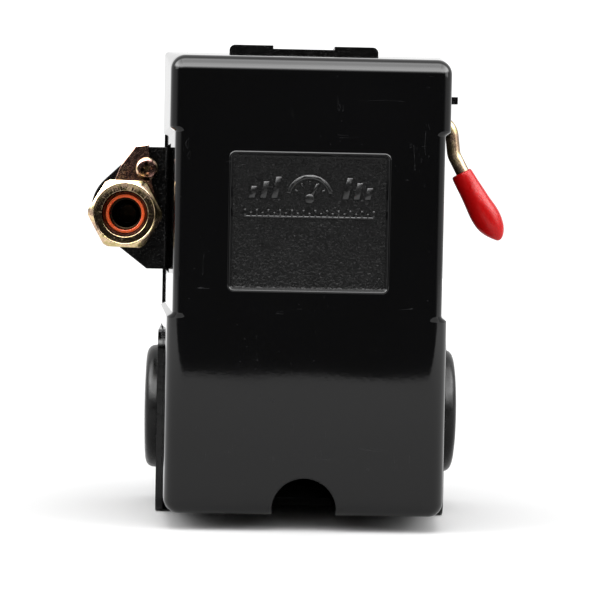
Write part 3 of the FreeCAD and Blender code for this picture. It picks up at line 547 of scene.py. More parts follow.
# ---- front cover
COVER_DEPTH = COVER_HIGH.y - COVER_LOW.y
FRONT_HALF = 28.8
DRAFT = (COVER_HIGH.x - FRONT_HALF) / COVER_DEPTH
TOP_DRAFT = 0.066
FRONT_TOP = COVER_HIGH.z - TOP_DRAFT * COVER_DEPTH
FRONT_BOTTOM = COVER_LOW.z + DRAFT * COVER_DEPTH
COVER_WALL = 2.0
FACE_RIM_X = 5.4
FACE_RIM_Z = 4.05
CORNER_R = 3.1
REAR_CORNER_R = 0.9
INSET_LOW = FLOOR_Z + 44.4
INSET_HIGH = FLOOR_Z + 82.6
INSET_FRONT = 1.1
INSET_FADE = 0.0068
LEDGE_HALF = 0.55
PLAQUE_HALF_X = 16.25
PLAQUE_HALF_Z = 14.1
PLAQUE_MIDDLE = FLOOR_Z + 63.9
PLAQUE_DEEP = 0.7
TOP_ROUND = 3.0
BOTTOM_ROUND = 2.2
CORNER_MARGIN = 4.4
LEAST_R = 0.3


def ease(t):
    """A smooth step from 0 to 1."""
    t = min(max(t, 0.0), 1.0)
    return t * t * (3 - 2 * t)


def in_inset(z):
    """1 within the side inset's height, 0 outside it, easing over each ledge."""
    rise = ease((z - INSET_LOW + LEDGE_HALF) / (2 * LEDGE_HALF))
    fall = ease((INSET_HIGH - z + LEDGE_HALF) / (2 * LEDGE_HALF))
    return rise * fall


def side_round(z):
    """The front edge's radius up the sides: broadest below the inset."""
    lower, middle, upper = 3.7, 2.1, 2.5
    below = 1 - ease((z - INSET_LOW + LEDGE_HALF) / (2 * LEDGE_HALF))
    above = 1 - ease((INSET_HIGH - z + LEDGE_HALF) / (2 * LEDGE_HALF))
    return middle + (lower - middle) * below + (upper - middle) * above


def cover_samples():
    """Places round the outline: ("side", sign, z), ("level", sign, x) or ("corner", sx, sz, angle)."""
    zs = set(spread(FRONT_BOTTOM + CORNER_MARGIN, FRONT_TOP - CORNER_MARGIN, 45))
    for ledge in (INSET_LOW, INSET_HIGH):
        zs = {z for z in zs if abs(z - ledge) > 1.2} | set(spread(ledge - 0.8, ledge + 0.8, 13))
    zs = sorted(zs)
    xs = spread(-FRONT_HALF + CORNER_MARGIN, FRONT_HALF - CORNER_MARGIN, 31)
    turns = spread(0, pi / 2, 11)
    samples = [("side", 1, z) for z in zs]
    samples += [("corner", 1, 1, a) for a in turns]
    samples += [("level", 1, x) for x in reversed(xs)]
    samples += [("corner", -1, 1, a) for a in reversed(turns)]
    samples += [("side", -1, z) for z in reversed(zs)]
    samples += [("corner", -1, -1, a) for a in turns]
    samples += [("level", -1, x) for x in xs]
    samples += [("corner", 1, -1, a) for a in reversed(turns)]
    return samples


def edge_round(sample):
    """The front edge's depth, reach across and reach up at a place round the outline."""
    if sample[0] == "side":
        r = side_round(sample[2])
        return r, r, r
    end = TOP_ROUND if sample[2 if sample[0] == "corner" else 1] > 0 else BOTTOM_ROUND
    if sample[0] == "level":
        return end, end, end
    side = side_round(FRONT_TOP if sample[2] > 0 else FRONT_BOTTOM)
    return side + (end - side) * ease(sample[3] / (pi / 2)), side, end


def cover_point(sample, depth, inward):
    """A point of the cover's skin at a depth behind the face, moved inward, by one step or (across, up)."""
    across, up = inward if isinstance(inward, tuple) else (inward, inward)
    half, bottom = FRONT_HALF + DRAFT * depth - across, FRONT_BOTTOM - DRAFT * depth + up
    top = FRONT_TOP + TOP_DRAFT * depth - up
    y = FACE_Y + depth
    if sample[0] == "side":
        shift = in_inset(sample[2]) * (INSET_FRONT - INSET_FADE * depth)
        return (sample[1] * (half - shift), y, sample[2])
    if sample[0] == "level":
        return (sample[2], y, top if sample[1] > 0 else bottom)
    r = CORNER_R + (REAR_CORNER_R - CORNER_R) * depth / COVER_DEPTH
    r = max(r - max(across, up), LEAST_R)
    _, sx, sz, a = sample
    x = sx * (half - r + r * cos(a))
    return (x, y, (top - r if sz > 0 else bottom + r) + sz * r * sin(a))


def plaque_point(sample, outward, depth):
    """The same place round the outline, brought in to the plaque's edge."""
    r = max(1.0 + outward, LEAST_R)
    half_x, half_z = PLAQUE_HALF_X + outward, PLAQUE_HALF_Z + outward
    y = FACE_Y + depth
    middle = (FRONT_TOP + FRONT_BOTTOM) / 2
    if sample[0] == "side":
        share = (sample[2] - middle) / ((FRONT_TOP - FRONT_BOTTOM) / 2 - CORNER_MARGIN)
        return (sample[1] * half_x, y, PLAQUE_MIDDLE + share * (half_z - r))
    if sample[0] == "level":
        share = sample[2] / (FRONT_HALF - CORNER_MARGIN)
        return (share * (half_x - r), y, PLAQUE_MIDDLE + sample[1] * half_z)
    _, sx, sz, a = sample
    x = sx * (half_x - r + r * cos(a))
    return (x, y, PLAQUE_MIDDLE + sz * (half_z - r + r * sin(a)))


def face_point(sample):
    """The same place round the outline, on a plain rectangle just inside the face's rounded edge."""
    half = FRONT_HALF - FACE_RIM_X
    top, bottom = FRONT_TOP - FACE_RIM_Z, FRONT_BOTTOM + FACE_RIM_Z
    r = LEAST_R
    if sample[0] == "side":
        return (sample[1] * half, FACE_Y, sample[2])
    if sample[0] == "level":
        x = sample[2] * (half - r - 0.05) / (FRONT_HALF - CORNER_MARGIN)
        return (x, FACE_Y, top if sample[1] > 0 else bottom)
    _, sx, sz, a = sample
    x = sx * (half - r + r * cos(a))
    return (x, FACE_Y, (top - r if sz > 0 else bottom + r) + sz * r * sin(a))


def cover_shell():
    """The whole shell: plaque, face, rounded front edge, drafted sides, rim and inside."""
    samples = cover_samples()
    pebbled = [(-0.85, PLAQUE_DEEP), (-0.55, PLAQUE_DEEP - 0.06)]
    border = [(-0.12, 0.06), (-0.02, -0.04), (0.06, -0.09), (0.2, -0.09), (0.28, -0.05),
              (0.36, 0.0), (0.5, 0.0)]
    rings = [[plaque_point(s, outward, depth) for s in samples] for outward, depth in pebbled + border]
    rings.append([face_point(s) for s in samples])
    edges = [edge_round(s) for s in samples]
    for a in spread(0, pi / 2, 12):
        back, inward = 1 - cos(a), 1 - sin(a)
        rings.append([cover_point(s, deep * back, (across * inward, up * inward))
                      for s, (deep, across, up) in zip(samples, edges)])
    rim = 0.3
    for share in spread(0, 1, 9)[1:]:
        rings.append([cover_point(s, deep + (COVER_DEPTH - rim - deep) * share, 0.0)
                      for s, (deep, _, _) in zip(samples, edges)])
    fillet = 1.0
    inside = [(COVER_DEPTH, rim), (COVER_DEPTH, COVER_WALL - rim)]
    inside += [(COVER_WALL + fillet + (COVER_DEPTH - rim - COVER_WALL - fillet) * share, COVER_WALL)
               for share in spread(1, 0, 7)]
    inside.append((COVER_WALL, COVER_WALL + fillet))
    rings += [[cover_point(s, depth, inward) for s in samples] for depth, inward in inside]
    obj = mesh_object("cover_shell", *join_rings(rings))
    obj.data.materials.append(COVER_PLASTIC)
    obj.data.materials.append(PLAQUE_PLASTIC)
    for polygon in obj.data.polygons:
        if max(polygon.vertices) < len(samples) * len(pebbled):
            polygon.material_index = 1
    return clean(obj)


def front_cover():
    """The shell with its arch notch, and reliefs for the ears, the unloader bracket and the lever."""
    cover = cover_shell()
    beyond, outside = COVER_HIGH.y + 2, 40
    arch_r, arch_z, arch_deep, arch_lean = 6.6, FLOOR_Z + 4.45, 30.0, 1.6
    outline = [(-arch_r, FLOOR_Z - 2), (arch_r, FLOOR_Z - 2)]
    outline += [(arch_r * cos(a), arch_z + arch_r * sin(a)) for a in spread(0, pi, 41)]
    rings = []
    for outward, depth in ((0.9, -0.4), (0.45, 0.0), (0.12, 0.2), (0.0, 0.55), (0.0, arch_deep)):
        grow = 1 + outward / arch_r
        rings.append([(x * grow, FACE_Y + depth, arch_z + (z - arch_z) * grow) for x, z in outline])
    rings[-1] = [(x, y - arch_lean * (z - FLOOR_Z), z) for x, y, z in rings[-1]]
    cut_away(cover, skin("cutter", rings))
    ear_y = low_high("base_frame")[0].y - 0.6
    for side in (-1, 1):
        for inner, low_z, high_z in ((26, 4.2, 40.3), (29.3, -2, 4.3)):
            xs = sorted((side * inner, side * outside))
            cut_block(cover, (xs[0], ear_y, FLOOR_Z + low_z), (xs[1], beyond, FLOOR_Z + high_z))
    low, high = low_high("unloader_bracket")
    gap = 0.8
    cut_block(cover, (-outside, low.y - gap, low.z - gap), (-20, beyond, high.z + gap))
    cut_block(cover, (20, FACE_Y + 37.0, FLOOR_Z + 82.4), (outside, beyond, FLOOR_Z + 93.0))
    smooth(cover.data, 30)
    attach(cover, "cover")
    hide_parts("front_cover")


# ---- plaque emblem
def emblem():
    """A raised gauge between level bars, over a graduated line, in place of any wording."""
    floor_y = FACE_Y + PLAQUE_DEEP
    front, back = floor_y - 0.4, floor_y + 0.1
    middle_z, line_z = PLAQUE_MIDDLE + 4.9, PLAQUE_MIDDLE + 0.9
    arc_outer, arc_inner, hub_r, line_half = 4.9, 4.1, 0.95, 13.4
    pieces = []

    def raised(outline, bevel=0.12):
        pieces.append(plate_object("raised", outline, front, back, bevel))

    def radial(angle, near, far, half):
        c, s = cos(radians(angle)), sin(radians(angle))
        ends = ((near, -half), (far, -half), (far, half), (near, half))
        raised([(r * c - w * s, middle_z + r * s + w * c) for r, w in ends], 0.08)

    def arc(r, turns):
        return [(r * cos(a), middle_z + r * sin(a)) for a in turns]

    def bar(x, half, low, high, lean=0.0, bevel=0.12):
        raised([(x - half, low), (x + half, low), (x + half + lean, high), (x - half + lean, high)], bevel)

    turns = [radians(a) for a in spread(14, 166, 33)]
    raised(arc(arc_outer, turns) + arc(arc_inner, reversed(turns)))
    for angle in spread(30, 150, 5):
        radial(angle, 2.9, 3.6, 0.17)
    radial(62, 0.9, 3.4, 0.28)
    raised(arc(hub_r, circle(24)))
    for side in (-1, 1):
        for step, tall in enumerate((4.4, 3.4, 2.4)):
            bar(side * (7.3 + 2.3 * step), 0.6, middle_z, middle_z + tall, lean=0.22 * tall)
    bar(0, line_half, line_z, line_z + 0.4)
    for step, x in enumerate(spread(0.2 - line_half, line_half - 0.2, 23)):
        bar(x, 0.2, line_z + 0.2, line_z + (1.7 if step % 2 == 0 else 1.1), bevel=0.07)
    piece = joined("plaque_emblem", pieces)
    smooth(piece.data, 40)
    piece.data.materials.append(EMBLEM_PLASTIC)
    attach(piece, "cover")


# ---- fastener and tube helpers
def cross_cutter(place, along, r, deep, angle):
    """A tapered cross, for a recess in a screw head whose top is at place and looks along."""
    arms = []
    turn = Vector(along).to_track_quat("Z", "Y").to_matrix() @ Matrix.Rotation(angle, 3, "Z")
    faces = [(3, 2, 1, 0), (4, 5, 6, 7), (0, 1, 5, 4), (1, 2, 6, 5), (2, 3, 7, 6), (3, 0, 4, 7)]
    for quarter in (0, 1):
        points = []
        for level, long, wide in ((0.4, 0.66, 0.15), (-deep, 0.30, 0.10)):
            for u, v in ((-long, -wide), (long, -wide), (long, wide), (-long, wide)):
                point = (u * r, v * r) if quarter == 0 else (-v * r, u * r)
                points.append(Vector(place) + turn @ Vector((*point, level)))
        arms.append(clean(mesh_object("cutter", points, faces)))
    return arms


def pan_screw(place, along, head_r, h, shank_r, shank, angle):
    """A pan-head cross-recess screw with a head h high. place is the middle of the head's underside."""
    turn_y, pitch = -shank + shank_r * 0.25, 0.5
    profile = [(0, -shank), (shank_r * 0.75, -shank), (shank_r, turn_y)]
    while turn_y + pitch < -0.6:
        profile += [(shank_r, turn_y), (shank_r * 0.86, turn_y + pitch / 2), (shank_r, turn_y + pitch)]
        turn_y += pitch
    head = [(0.95, 0), (1, 0.12), (1, 0.55), (0.985, 0.70), (0.93, 0.85), (0.83, 0.95), (0.7, 0.99), (0, 1)]
    profile += [(shank_r, 0)] + [(head_r * out, h * up) for out, up in head]
    screw = lathe("screw", profile, place, along, 64)
    top = Vector(place) + Vector(along) * h
    for arm in cross_cutter(top, along, head_r, h * 0.75, angle):
        cut_away(screw, arm)
    return clean(screw, 28)


def threaded_rod(name, place, length, r, pitch):
    """A rod along +Y with ridges at the thread's pitch."""
    profile = [(0, 0), (r * 0.82, 0)]
    y = 0.3
    while y + pitch < length - 0.3:
        profile += [(r * 0.84, y), (r, y + pitch * 0.42), (r, y + pitch * 0.58)]
        y += pitch
    profile += [(r * 0.84, y), (r * 0.82, length - 0.1), (r * 0.74, length), (0, length)]
    return lathe(name, profile, place, segments=72, degrees=20)


def hexagon(x, z, flats, corner_r):
    """An (x, z) hexagon outline with rounded corners and flats at top and bottom."""
    r = flats / sqrt(3)
    return rounded_corners([(x + r * cos(a), z + r * sin(a), corner_r) for a in circle(6)], 4)


def tube_along(name, path, radii):
    """A round bar of varying radius through the points of a path that stays in one plane across Y."""
    rings = []
    for k, point in enumerate(path):
        before, after = path[max(k - 1, 0)], path[min(k + 1, len(path) - 1)]
        along = (Vector(after) - Vector(before)).normalized()
        side = Vector(ALONG_Y).cross(along).normalized()
        around = [side * cos(a) + Vector(ALONG_Y) * sin(a) for a in circle(32)]
        rings.append([tuple(Vector(point) + radii[k] * out) for out in around])
    return skin(name, rings, 50)


def bent_path(points, bend):
    """A polyline with its corners turned into arcs."""
    steps, longest = 10, 0.8
    path = [Vector(points[0])]
    for before, corner, after in zip(points, points[1:], points[2:]):
        corner = Vector(corner)
        inward = (Vector(before) - corner).normalized()
        outward = (Vector(after) - corner).normalized()
        half = inward.angle(outward) / 2
        reach = bend / tan(half)
        middle = corner + (inward + outward).normalized() * (bend / sin(half))
        first, last = corner + inward * reach - middle, corner + outward * reach - middle
        for k in range(steps + 1):
            path.append(middle + first.slerp(last, k / steps).normalized() * bend)
    path.append(Vector(points[-1]))
    fine = []
    for a, b in zip(path, path[1:]):
        count = max(1, int((b - a).length / longest))
        fine += [a.lerp(b, k / count) for k in range(count)]
    return fine + [path[-1]]


# ---- unloader valve
def tube_nut():
    """The tube nut: turned corners, a faint ring on its face and a chamfered mouth; the ring and the bore
    carry painted shade.
    """
    low, high = low_high("unloader_nut")
    x, z = middle_xz(low, high)
    long = high.y - low.y
    c, s = cos(radians(1.4)), sin(radians(1.4))
    outline = [(x + (u - x) * c + (w - z) * s, z - (u - x) * s + (w - z) * c)
               for u, w in hexagon(x, z, 14.0, 0.35)]
    nut = plate_object("unloader_nut_turned", outline, low.y, high.y, 0.0)
    turned = [(0, -0.01), (6.45, -0.01), (6.62, 0.06), (7.78, 0.72), (7.78, long - 0.5), (7.1, long),
              (0, long)]
    ring = [(4.0, -1), (6.3, -1), (6.3, 0.0), (6.2, 0.1), (4.0, 0.1)]
    bore = [(0, -1), (4.95, -1), (4.95, 0.1), (4.85, 0.16), (4.6, 0.45), (4.6, 1.2), (4.12, 2.2),
            (4.12, long + 1), (0, long + 1)]
    for profile, closed, operation in ((turned, False, "INTERSECT"), (ring, True, "DIFFERENCE"),
                                       (bore, False, "DIFFERENCE")):
        cutter = lathe("cutter", profile, (x, low.y, z), segments=144, closed=closed)
        cut_away(nut, cutter, operation)
    round_edges(nut, 0.10, 2, 25)
    smooth(nut.data, 24)
    stand_for(nut, "unloader_nut", "base", NUT_ZINC)
    # painted shade: the bore's wall takes the near-black brass
    nut.data.materials.append(BRASS_PAINTED_SHADE)
    # painted shade: the ring on the face takes the darkened copy of the zinc
    nut.data.materials.append(NUT_FACE_PAINTED_SHADE)
    for polygon in nut.data.polygons:
        at = polygon.center / MM
        r = hypot(at.x - x, at.z - z)
        if r < 4.75:
            polygon.material_index = 1
        elif r < 6.28 and at.y < low.y + 0.15:
            polygon.material_index = 2


def sleeve():
    low, high = low_high("tube_sleeve")
    x, z = middle_xz(low, high)
    long = high.y - low.y
    profile = [(3.42, 0.3), (3.46, 0.1), (3.6, 0.0), (4.0, 0.0), (4.1, 0.12), (4.1, long), (3.5, long),
               (3.5, 0.8)]
    piece = lathe("tube_sleeve_lip", profile, (x, low.y, z), segments=96, closed=True)
    stand_for(piece, "tube_sleeve", "base", ORANGE)


def retaining_screw():
    """The screw in the valve's retainer, with a golden rim round its head."""
    low, high = low_high("retainer_screw")
    x, z = middle_xz(low, high)
    under = low_high("valve_retainer")[0].y
    screw = pan_screw((x, under, z), (0, -1, 0), 2.5, under - low.y, 1.45, high.y - under, angle=0.18)
    screw.name = "retainer_screw_head"
    stand_for(screw, "retainer_screw", "base", SCREW_ZINC)
    screw.data.materials.append(NUT_ZINC)
    for polygon in screw.data.polygons:
        at = polygon.center / MM
        if hypot(at.x - x, at.z - z) > 1.95:
            polygon.material_index = 1


# ---- lever
KINK = Vector((33.1, 0, FLOOR_Z + 79.1))
KINK_LEAN = radians(28)
GRIP_STARTS = 4.3


def lever():
    low, high = low_high("lever_wire")
    r = (high.y - low.y) / 2
    y = (high.y + low.y) / 2
    shaft = centre("lever_clip").z
    kink = Vector((KINK.x, y, KINK.z))
    outward = Vector((sin(KINK_LEAN), 0, -cos(KINK_LEAN)))
    corners = [(low.x + r, y, high.z), (low.x + r, y, shaft), (32.2, y, shaft), kink, kink + outward * 18]
    path = bent_path(corners, 4.0)
    radii = [r * 0.72, r * 0.95] + [r] * (len(path) - 2)
    wire = tube_along("lever_wire_bent", path, radii)
    stand_for(wire, "lever_wire", "lever", WIRE_ZINC)
    grip(kink, outward)


def grip(kink, outward):
    """The dipped grip: it swells towards a blunt end that is flatter on its inner side."""
    across = Vector((outward.z, 0, -outward.x)) * -1
    stations = [
        (0.0, 1.6, -0.1), (0.0, 2.05, -0.28), (0.12, 2.26, -0.32), (0.4, 2.36, -0.33), (1.2, 2.42, -0.3),
        (2.6, 2.46, -0.26), (4.0, 2.56, -0.2), (5.6, 2.74, -0.12), (7.2, 2.88, -0.05), (8.8, 3.04, 0.05),
        (10.2, 3.12, 0.12), (11.6, 3.1, 0.17), (12.8, 2.98, 0.24), (13.8, 2.76, 0.36), (14.7, 2.42, 0.5),
        (15.5, 1.98, 0.62), (16.2, 1.46, 0.68), (16.8, 0.92, 0.66), (17.1, 0.5, 0.6), (17.2, 0.12, 0.55),
    ]
    start = kink + outward * GRIP_STARTS
    rings = []
    for along, r, shift in stations:
        ring = []
        for a in circle(40):
            wobble = 1 + 0.018 * sin(2 * a + along * 0.7) + 0.012 * sin(3 * a - along * 0.9)
            out = across * (shift + r * wobble * cos(a)) + Vector((0, r * wobble * 0.97 * sin(a), 0))
            ring.append(tuple(start + outward * along + out))
        rings.append(ring)
    piece = skin("lever_grip_dipped", rings, 80)
    soften = piece.modifiers.new("smooth", "SUBSURF")
    soften.levels = soften.render_levels = 1
    evaluated(piece)
    smooth(piece.data, 80)
    stand_for(piece, "lever_grip", "lever", RED_VINYL)


# ---- base details
def plug(side, node):
    """A snap-in hole plug: a round-edged cap with a fine ring, over a hollow stub with a snap bead."""
    middle = centre(node)
    ear = side * abs(low_high("base_frame")[0].x)
    profile = [
        (9.8, -4.3), (10.9, -4.3), (11.04, -4.1), (11.04, -3.2), (11.45, -2.9), (11.45, -2.0), (11.04, -1.6),
        (11.04, 0), (13.5, 0), (13.6, 0.12), (13.6, 0.8), (13.5, 1.35), (13.2, 1.9), (12.7, 2.32),
        (12.0, 2.58), (11.2, 2.7), (10.75, 2.72), (10.65, 2.6), (10.35, 2.6), (10.25, 2.74), (8.0, 2.84),
        (4.0, 2.9), (0, 2.92), (0, 1.5), (9.8, 1.5),
    ]
    piece = lathe(node + "_cap", profile, (ear, middle.y, middle.z), (side, 0, 0), 120, 28, closed=True)
    stand_for(piece, node, "base", PLUG_PLASTIC)


def port():
    """The port fitting: a collar and a chamfered hexagon, with a tapped bore."""
    low, high = low_high("port_fitting")
    x, z = middle_xz(low, high)
    foot = low_high("pressure_flange")[1].y
    long = high.y - foot
    body = plate_object("hexagon", hexagon(x, z, 24.0, 0.2), foot + 2.5, high.y, 0.0)
    turned = [(0, 0), (13.86, 0), (13.86, long - 1.5), (10.86, long), (0, long)]
    cut_away(body, lathe("cutter", turned, (x, foot, z), segments=120), "INTERSECT")
    bore = [(0, 1), (7.3, 1), (6.3, -0.7), (6.3, -long - 1), (0, -long - 1)]
    cut_away(body, lathe("cutter", bore, (x, high.y, z)))
    round_edges(body, 0.12, 2, 28)
    ring = [(2.5, 0), (13.5, 0), (13.5, 2.7), (13.2, 3.0), (6.3, 3.0), (6.3, 2.0), (2.5, 2.0)]
    collar = lathe("collar", ring, (x, foot, z), segments=120, closed=True)
    pitch, y, thread_end, root = 1.34, -0.8, -12.0, 6.35
    thread = [(root, -0.75)]
    while y - pitch > thread_end + 0.4:
        thread += [(5.6, y), (6.12, y - pitch * 0.5)]
        y -= pitch
    thread += [(5.55, y), (5.55, thread_end), (root, thread_end)]
    liner = lathe("thread", thread, (x, high.y, z), closed=True)
    body = joined("port_fitting_tapped", [body, collar, liner])
    smooth(body.data, 24)
    stand_for(body, "port_fitting", "base", BRIGHT_ZINC)


SHANK_R = 1.95


def solids(node):
    """The (lowest, highest) corners, in millimetres, of each separate solid in a CAD node."""
    work = bmesh.new()
    work.from_mesh(NODES[node].data)
    bmesh.ops.remove_doubles(work, verts=work.verts, dist=1e-6)
    left = set(work.verts)
    boxes = []
    while left:
        group, edge = set(), [left.pop()]
        while edge:
            vert = edge.pop()
            group.add(vert)
            for other in (e.other_vert(vert) for e in vert.link_edges):
                if other in left:
                    left.discard(other)
                    edge.append(other)
        xs, ys, zs = zip(*(v.co / MM for v in group))
        boxes.append((Vector((min(xs), min(ys), min(zs))), Vector((max(xs), max(ys), max(zs)))))
    work.free()
    return sorted(boxes, key=lambda pair: tuple(pair[0]))


def screws(node, head_h, material, front=True):
    """Cross-recess screws over each plain one in a node, every head turned its own way."""
    made = []
    for low, high in solids(node):
        x, z = middle_xz(low, high)
        head_r = (high.x - low.x) / 2
        under = low.y + head_h if front else high.y - head_h
        shank = high.y - under if front else under - low.y
        angle = random.uniform(0, pi / 2)
        along = (0, -1 if front else 1, 0)
        made.append(pan_screw((x, under, z), along, head_r, head_h, SHANK_R, shank, angle))
    piece = joined(node + "_cross", made)
    smooth(piece.data, 28)
    stand_for(piece, node, "base", material)


def stud(node, pitch):
    low, high = low_high(node)
    x, z = middle_xz(low, high)
    r = (high.x - low.x) / 2
    rod = threaded_rod(node + "_thread", (x, low.y, z), high.y - low.y, r, pitch)
    stand_for(rod, node, "base", BRIGHT_ZINC)


# ---- springs
def coil(name, node, wire_r, turns, share=(0.0, 1.0)):
    """A compression spring along Y with closed end turns, or a share of its length, in a node's place."""
    low, high = low_high(node)
    x, z = middle_xz(low, high)
    r = (high.x - low.x) / 2 - wire_r
    first, last = low.y + wire_r, high.y - wire_r
    closed = 2.06 * wire_r
    pitch = (last - first - 2 * closed) / (turns - 2)

    def level(turn):
        if turn < 1:
            return first + closed * turn
        if turn > turns - 1:
            return last - closed * (turns - turn)
        return first + closed + pitch * (turn - 1)

    steps = int(36 * turns * (share[1] - share[0]))
    rings = []
    for turn in spread(turns * share[0], turns * share[1], steps + 1):
        a = 2 * pi * turn
        outward = Vector((cos(a), 0, sin(a)))
        rise = (level(min(turn + 0.01, turns)) - level(max(turn - 0.01, 0))) / 0.02
        along = Vector((-sin(a) * r, rise / (2 * pi), cos(a) * r)).normalized()
        side = along.cross(outward)
        middle = Vector((x, level(turn), z)) + outward * r
        rings.append([tuple(middle + wire_r * (outward * cos(b) + side * sin(b))) for b in circle(14)])
    return skin(name, rings, 50)


def spring(node, wire_r, turns, seat):
    """A spring in two halves: one follows its seat and one the arm, so that it shortens from both ends."""
    low, high = low_high(node)
    front = coil(node + "_seat_half", node, wire_r, turns, (0.0, 0.5))
    stand_for(front, node, seat, SPRING_STEEL)
    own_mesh(front)
    rear = coil(node + "_arm_half", node, wire_r, turns, (0.5, 1.0))
    stand_for(rear, node, "rocker", SPRING_STEEL)
    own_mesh(rear)


def springs():
    pivot = centre("pivot_pin").z
    tilt = radians(3.0)
    for node, wire_r, turns, seat, travel in (
        ("range_spring", 1.1, 6, "range_adjuster", 4.0),
        ("differential_spring", 0.6, 8, "differential_adjuster", 2.1),
    ):
        give = (pivot - centre(node).z) * sin(tilt)
        spring(node, wire_r, turns, seat)
    low, high = low_high("unloader_spring")
    small = coil("unloader_spring_coil", "unloader_spring", 0.35, 7)
    stand_for(small, "unloader_spring", "base", SPRING_STEEL)
    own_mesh(small)


# ---- light, floor and camera
DARK_FRONT = 0.04
STRIP_LIGHT = 14.0


def world_light():
    """A white surround, dark towards the low front, which is what the glossy face reflects."""
    world = bpy.data.worlds.new("studio")
    bpy.context.scene.world = world
    world.use_nodes = True
    nodes, links = world.node_tree.nodes, world.node_tree.links

    def ease_between(value, low, high, start, end):
        made = nodes.new("ShaderNodeMapRange")
        made.interpolation_type = "SMOOTHSTEP"
        for key, number in (("From Min", low), ("From Max", high), ("To Min", start), ("To Max", end)):
            made.inputs[key].default_value = number
        links.new(value, made.inputs["Value"])
        return made.outputs["Result"]

    def times(a, b):
        made = nodes.new("ShaderNodeMath")
        made.operation = "MULTIPLY"
        links.new(a, made.inputs[0])
        links.new(b, made.inputs[1])
        return made.outputs[0]

    parts = nodes.new("ShaderNodeSeparateXYZ")
    links.new(nodes.new("ShaderNodeTexCoord").outputs["Generated"], parts.inputs[0])
    ahead = ease_between(parts.outputs["Y"], -0.85, -0.25, 1.0, 0.0)
    low = ease_between(parts.outputs["Z"], 0.15, 0.40, 1.0, 0.0)
    light = ease_between(times(ahead, low), 0.0, 1.0, 1.0, DARK_FRONT)
    rise = ease_between(parts.outputs["Z"], 0.28, 0.56, 0.0, 1.0)
    fall = ease_between(parts.outputs["Z"], 0.60, 1.0, 1.0, 0.35)
    facing = ease_between(parts.outputs["Y"], -0.05, 0.35, 1.0, 0.0)
    strip = nodes.new("ShaderNodeLightPath").outputs["Is Glossy Ray"]
    for factor in (rise, fall, facing):
        strip = times(strip, factor)
    lifted = nodes.new("ShaderNodeMath")
    lifted.operation = "MULTIPLY_ADD"
    lifted.inputs[1].default_value = STRIP_LIGHT
    links.new(strip, lifted.inputs[0])
    links.new(light, lifted.inputs[2])
    level = nodes.new("ShaderNodeMix")
    level.inputs["B"].default_value = 1.2
    links.new(nodes.new("ShaderNodeLightPath").outputs["Is Camera Ray"], level.inputs["Factor"])
    links.new(lifted.outputs[0], level.inputs["A"])
    background = nodes["Background"]
    background.inputs["Color"].default_value = (1, 1, 1, 1)
    links.new(level.outputs["Result"], background.inputs["Strength"])


def floor():
    """A white sheet that ends a little way in front of the switch and glows softly far behind it."""
    front, rear, half = FACE_Y - 440, FACE_Y + 1600, 1500
    points = [(x, y, FLOOR_Z) for x, y in ((-half, front), (half, front), (half, rear), (-half, rear))]
    obj = mesh_object("studio_floor", points, [(0, 1, 2, 3)])
    white = (1, 1, 1, 1)
    s = Shader("studio_white", **{"Roughness": 0.6, "Specular IOR Level": 0.0, "Emission Color": white})
    colour = s.mix(s.noise(200, 2), (0.86, 0.86, 0.86), (0.90, 0.90, 0.90))
    away = s.node("ShaderNodeVectorMath", {0: s.place}, operation="LENGTH").outputs["Value"]
    glow = s.node("ShaderNodeMapRange", {"Value": away, "From Min": 0.25, "From Max": 1.0, "To Max": 0.6})
    s.links.new(colour, s.surface.inputs["Base Color"])
    s.links.new(glow.outputs["Result"], s.surface.inputs["Emission Strength"])
    obj.data.materials.append(s.material)


def area_light(name, place, target, size, power):
    light = bpy.data.lights.new(name, "AREA")
    light.shape = "RECTANGLE"
    light.size, light.size_y = size[0] * MM, size[1] * MM
    light.energy = power
    obj = add_object(name, light)
    obj.location = Vector(place) * MM
    obj.rotation_euler = (Vector(target) - Vector(place)).to_track_quat("-Z", "Y").to_euler()


def lights():
    middle = (0, FACE_Y + 30, FLOOR_Z + 50)
    y = FACE_Y - 300
    area_light("overhead", (0, y, FLOOR_Z + 800), (0, y, FLOOR_Z), (520, 700), 2.6)
    area_light("left_key", (-700, y, FLOOR_Z + 420), middle, (420, 420), 1.8)
    area_light("right_fill", (760, y, FLOOR_Z + 360), middle, (420, 420), 2)


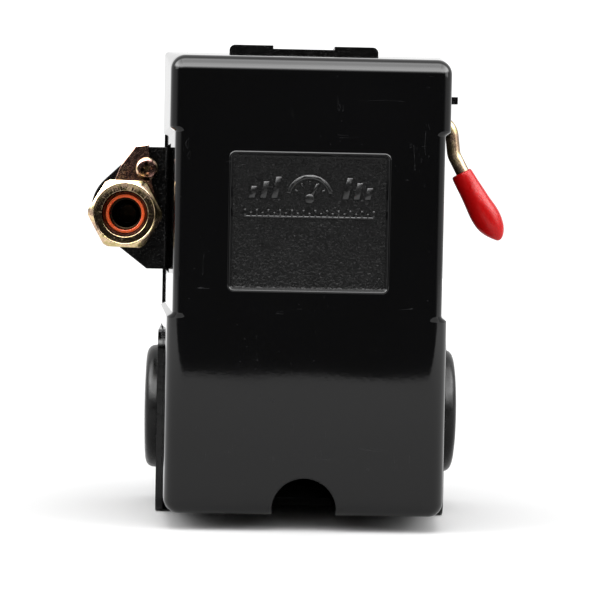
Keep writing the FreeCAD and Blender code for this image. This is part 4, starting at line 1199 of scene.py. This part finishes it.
def camera():
    eye = Vector((-17, FACE_Y - 500, FLOOR_Z + 69.5))
    target = Vector((-1.6, FACE_Y, FLOOR_Z + 48))
    data = bpy.data.cameras.new("camera")
    data.lens = 146.3
    data.sensor_width = 36
    data.clip_start = 0.01
    obj = add_object("camera", data)
    obj.location = eye * MM
    roll = radians(1.12)
    look = (target - eye).to_track_quat("-Z", "Y").to_matrix() @ Matrix.Rotation(roll, 3, "Z")
    obj.rotation_euler = look.to_euler()
    bpy.context.scene.camera = obj


front_cover()
emblem()
tube_nut()
sleeve()
retaining_screw()
lever()
port()
plug(-1, "conduit_plug_left")
plug(1, "conduit_plug_right")
stud("range_stud", 1.0)
stud("differential_stud", 0.7)
screws("flange_screws", 2.8, BRIGHT_ZINC, front=False)
screws("block_screws", 2.2, BRIGHT_ZINC, front=False)
screws("terminal_screws", 2.4, YELLOW_ZINC)
screws("bracket_screws", 2.4, BRIGHT_ZINC)
screws("ground_screw", 2.6, GREEN)
springs()
for material, bevel, nodes in (
    (BLACK_PAINT, 0.2, ["base_frame"]),
    (BRACKET_PAINT, 0.2, ["unloader_bracket"]),
    # painted shade: the valve body and its pin, deep in the bore, take the near-black brass
    (BRASS_PAINTED_SHADE, 0.15, ["unloader_body"]),
    (BRASS_PAINTED_SHADE, 0.1, ["unloader_pin"]),
    (ROSE_ZINC, 0.15, ["valve_retainer"]),
    (CAST_ALUMINIUM, 0.4, ["pressure_flange"]),
    (BRIGHT_ZINC, 0.1, ["rocker_bracket", "bracket_rivets", "pivot_pin", "rocker_arm", "range_seat",
                        "range_nut", "differential_seat", "differential_nut", "diaphragm_pusher"]),
    (SPRING_STEEL, 0, ["pivot_clips", "lever_clip", "contact_springs"]),
    (PHENOLIC, 0.3, ["contact_block", "contact_carrier"]),
    (BRASS, 0.15, ["terminal_strips", "contact_bridges"]),
    (SILVER, 0.15, ["fixed_contacts", "moving_contacts"]),
    (RUBBER, 0, ["diaphragm", "unloader_seal"]),
):
    for node in nodes:
        dress(node, material, bevel)

world_light()
floor()
lights()
camera()
bpy.context.scene.view_settings.view_transform = "Standard"
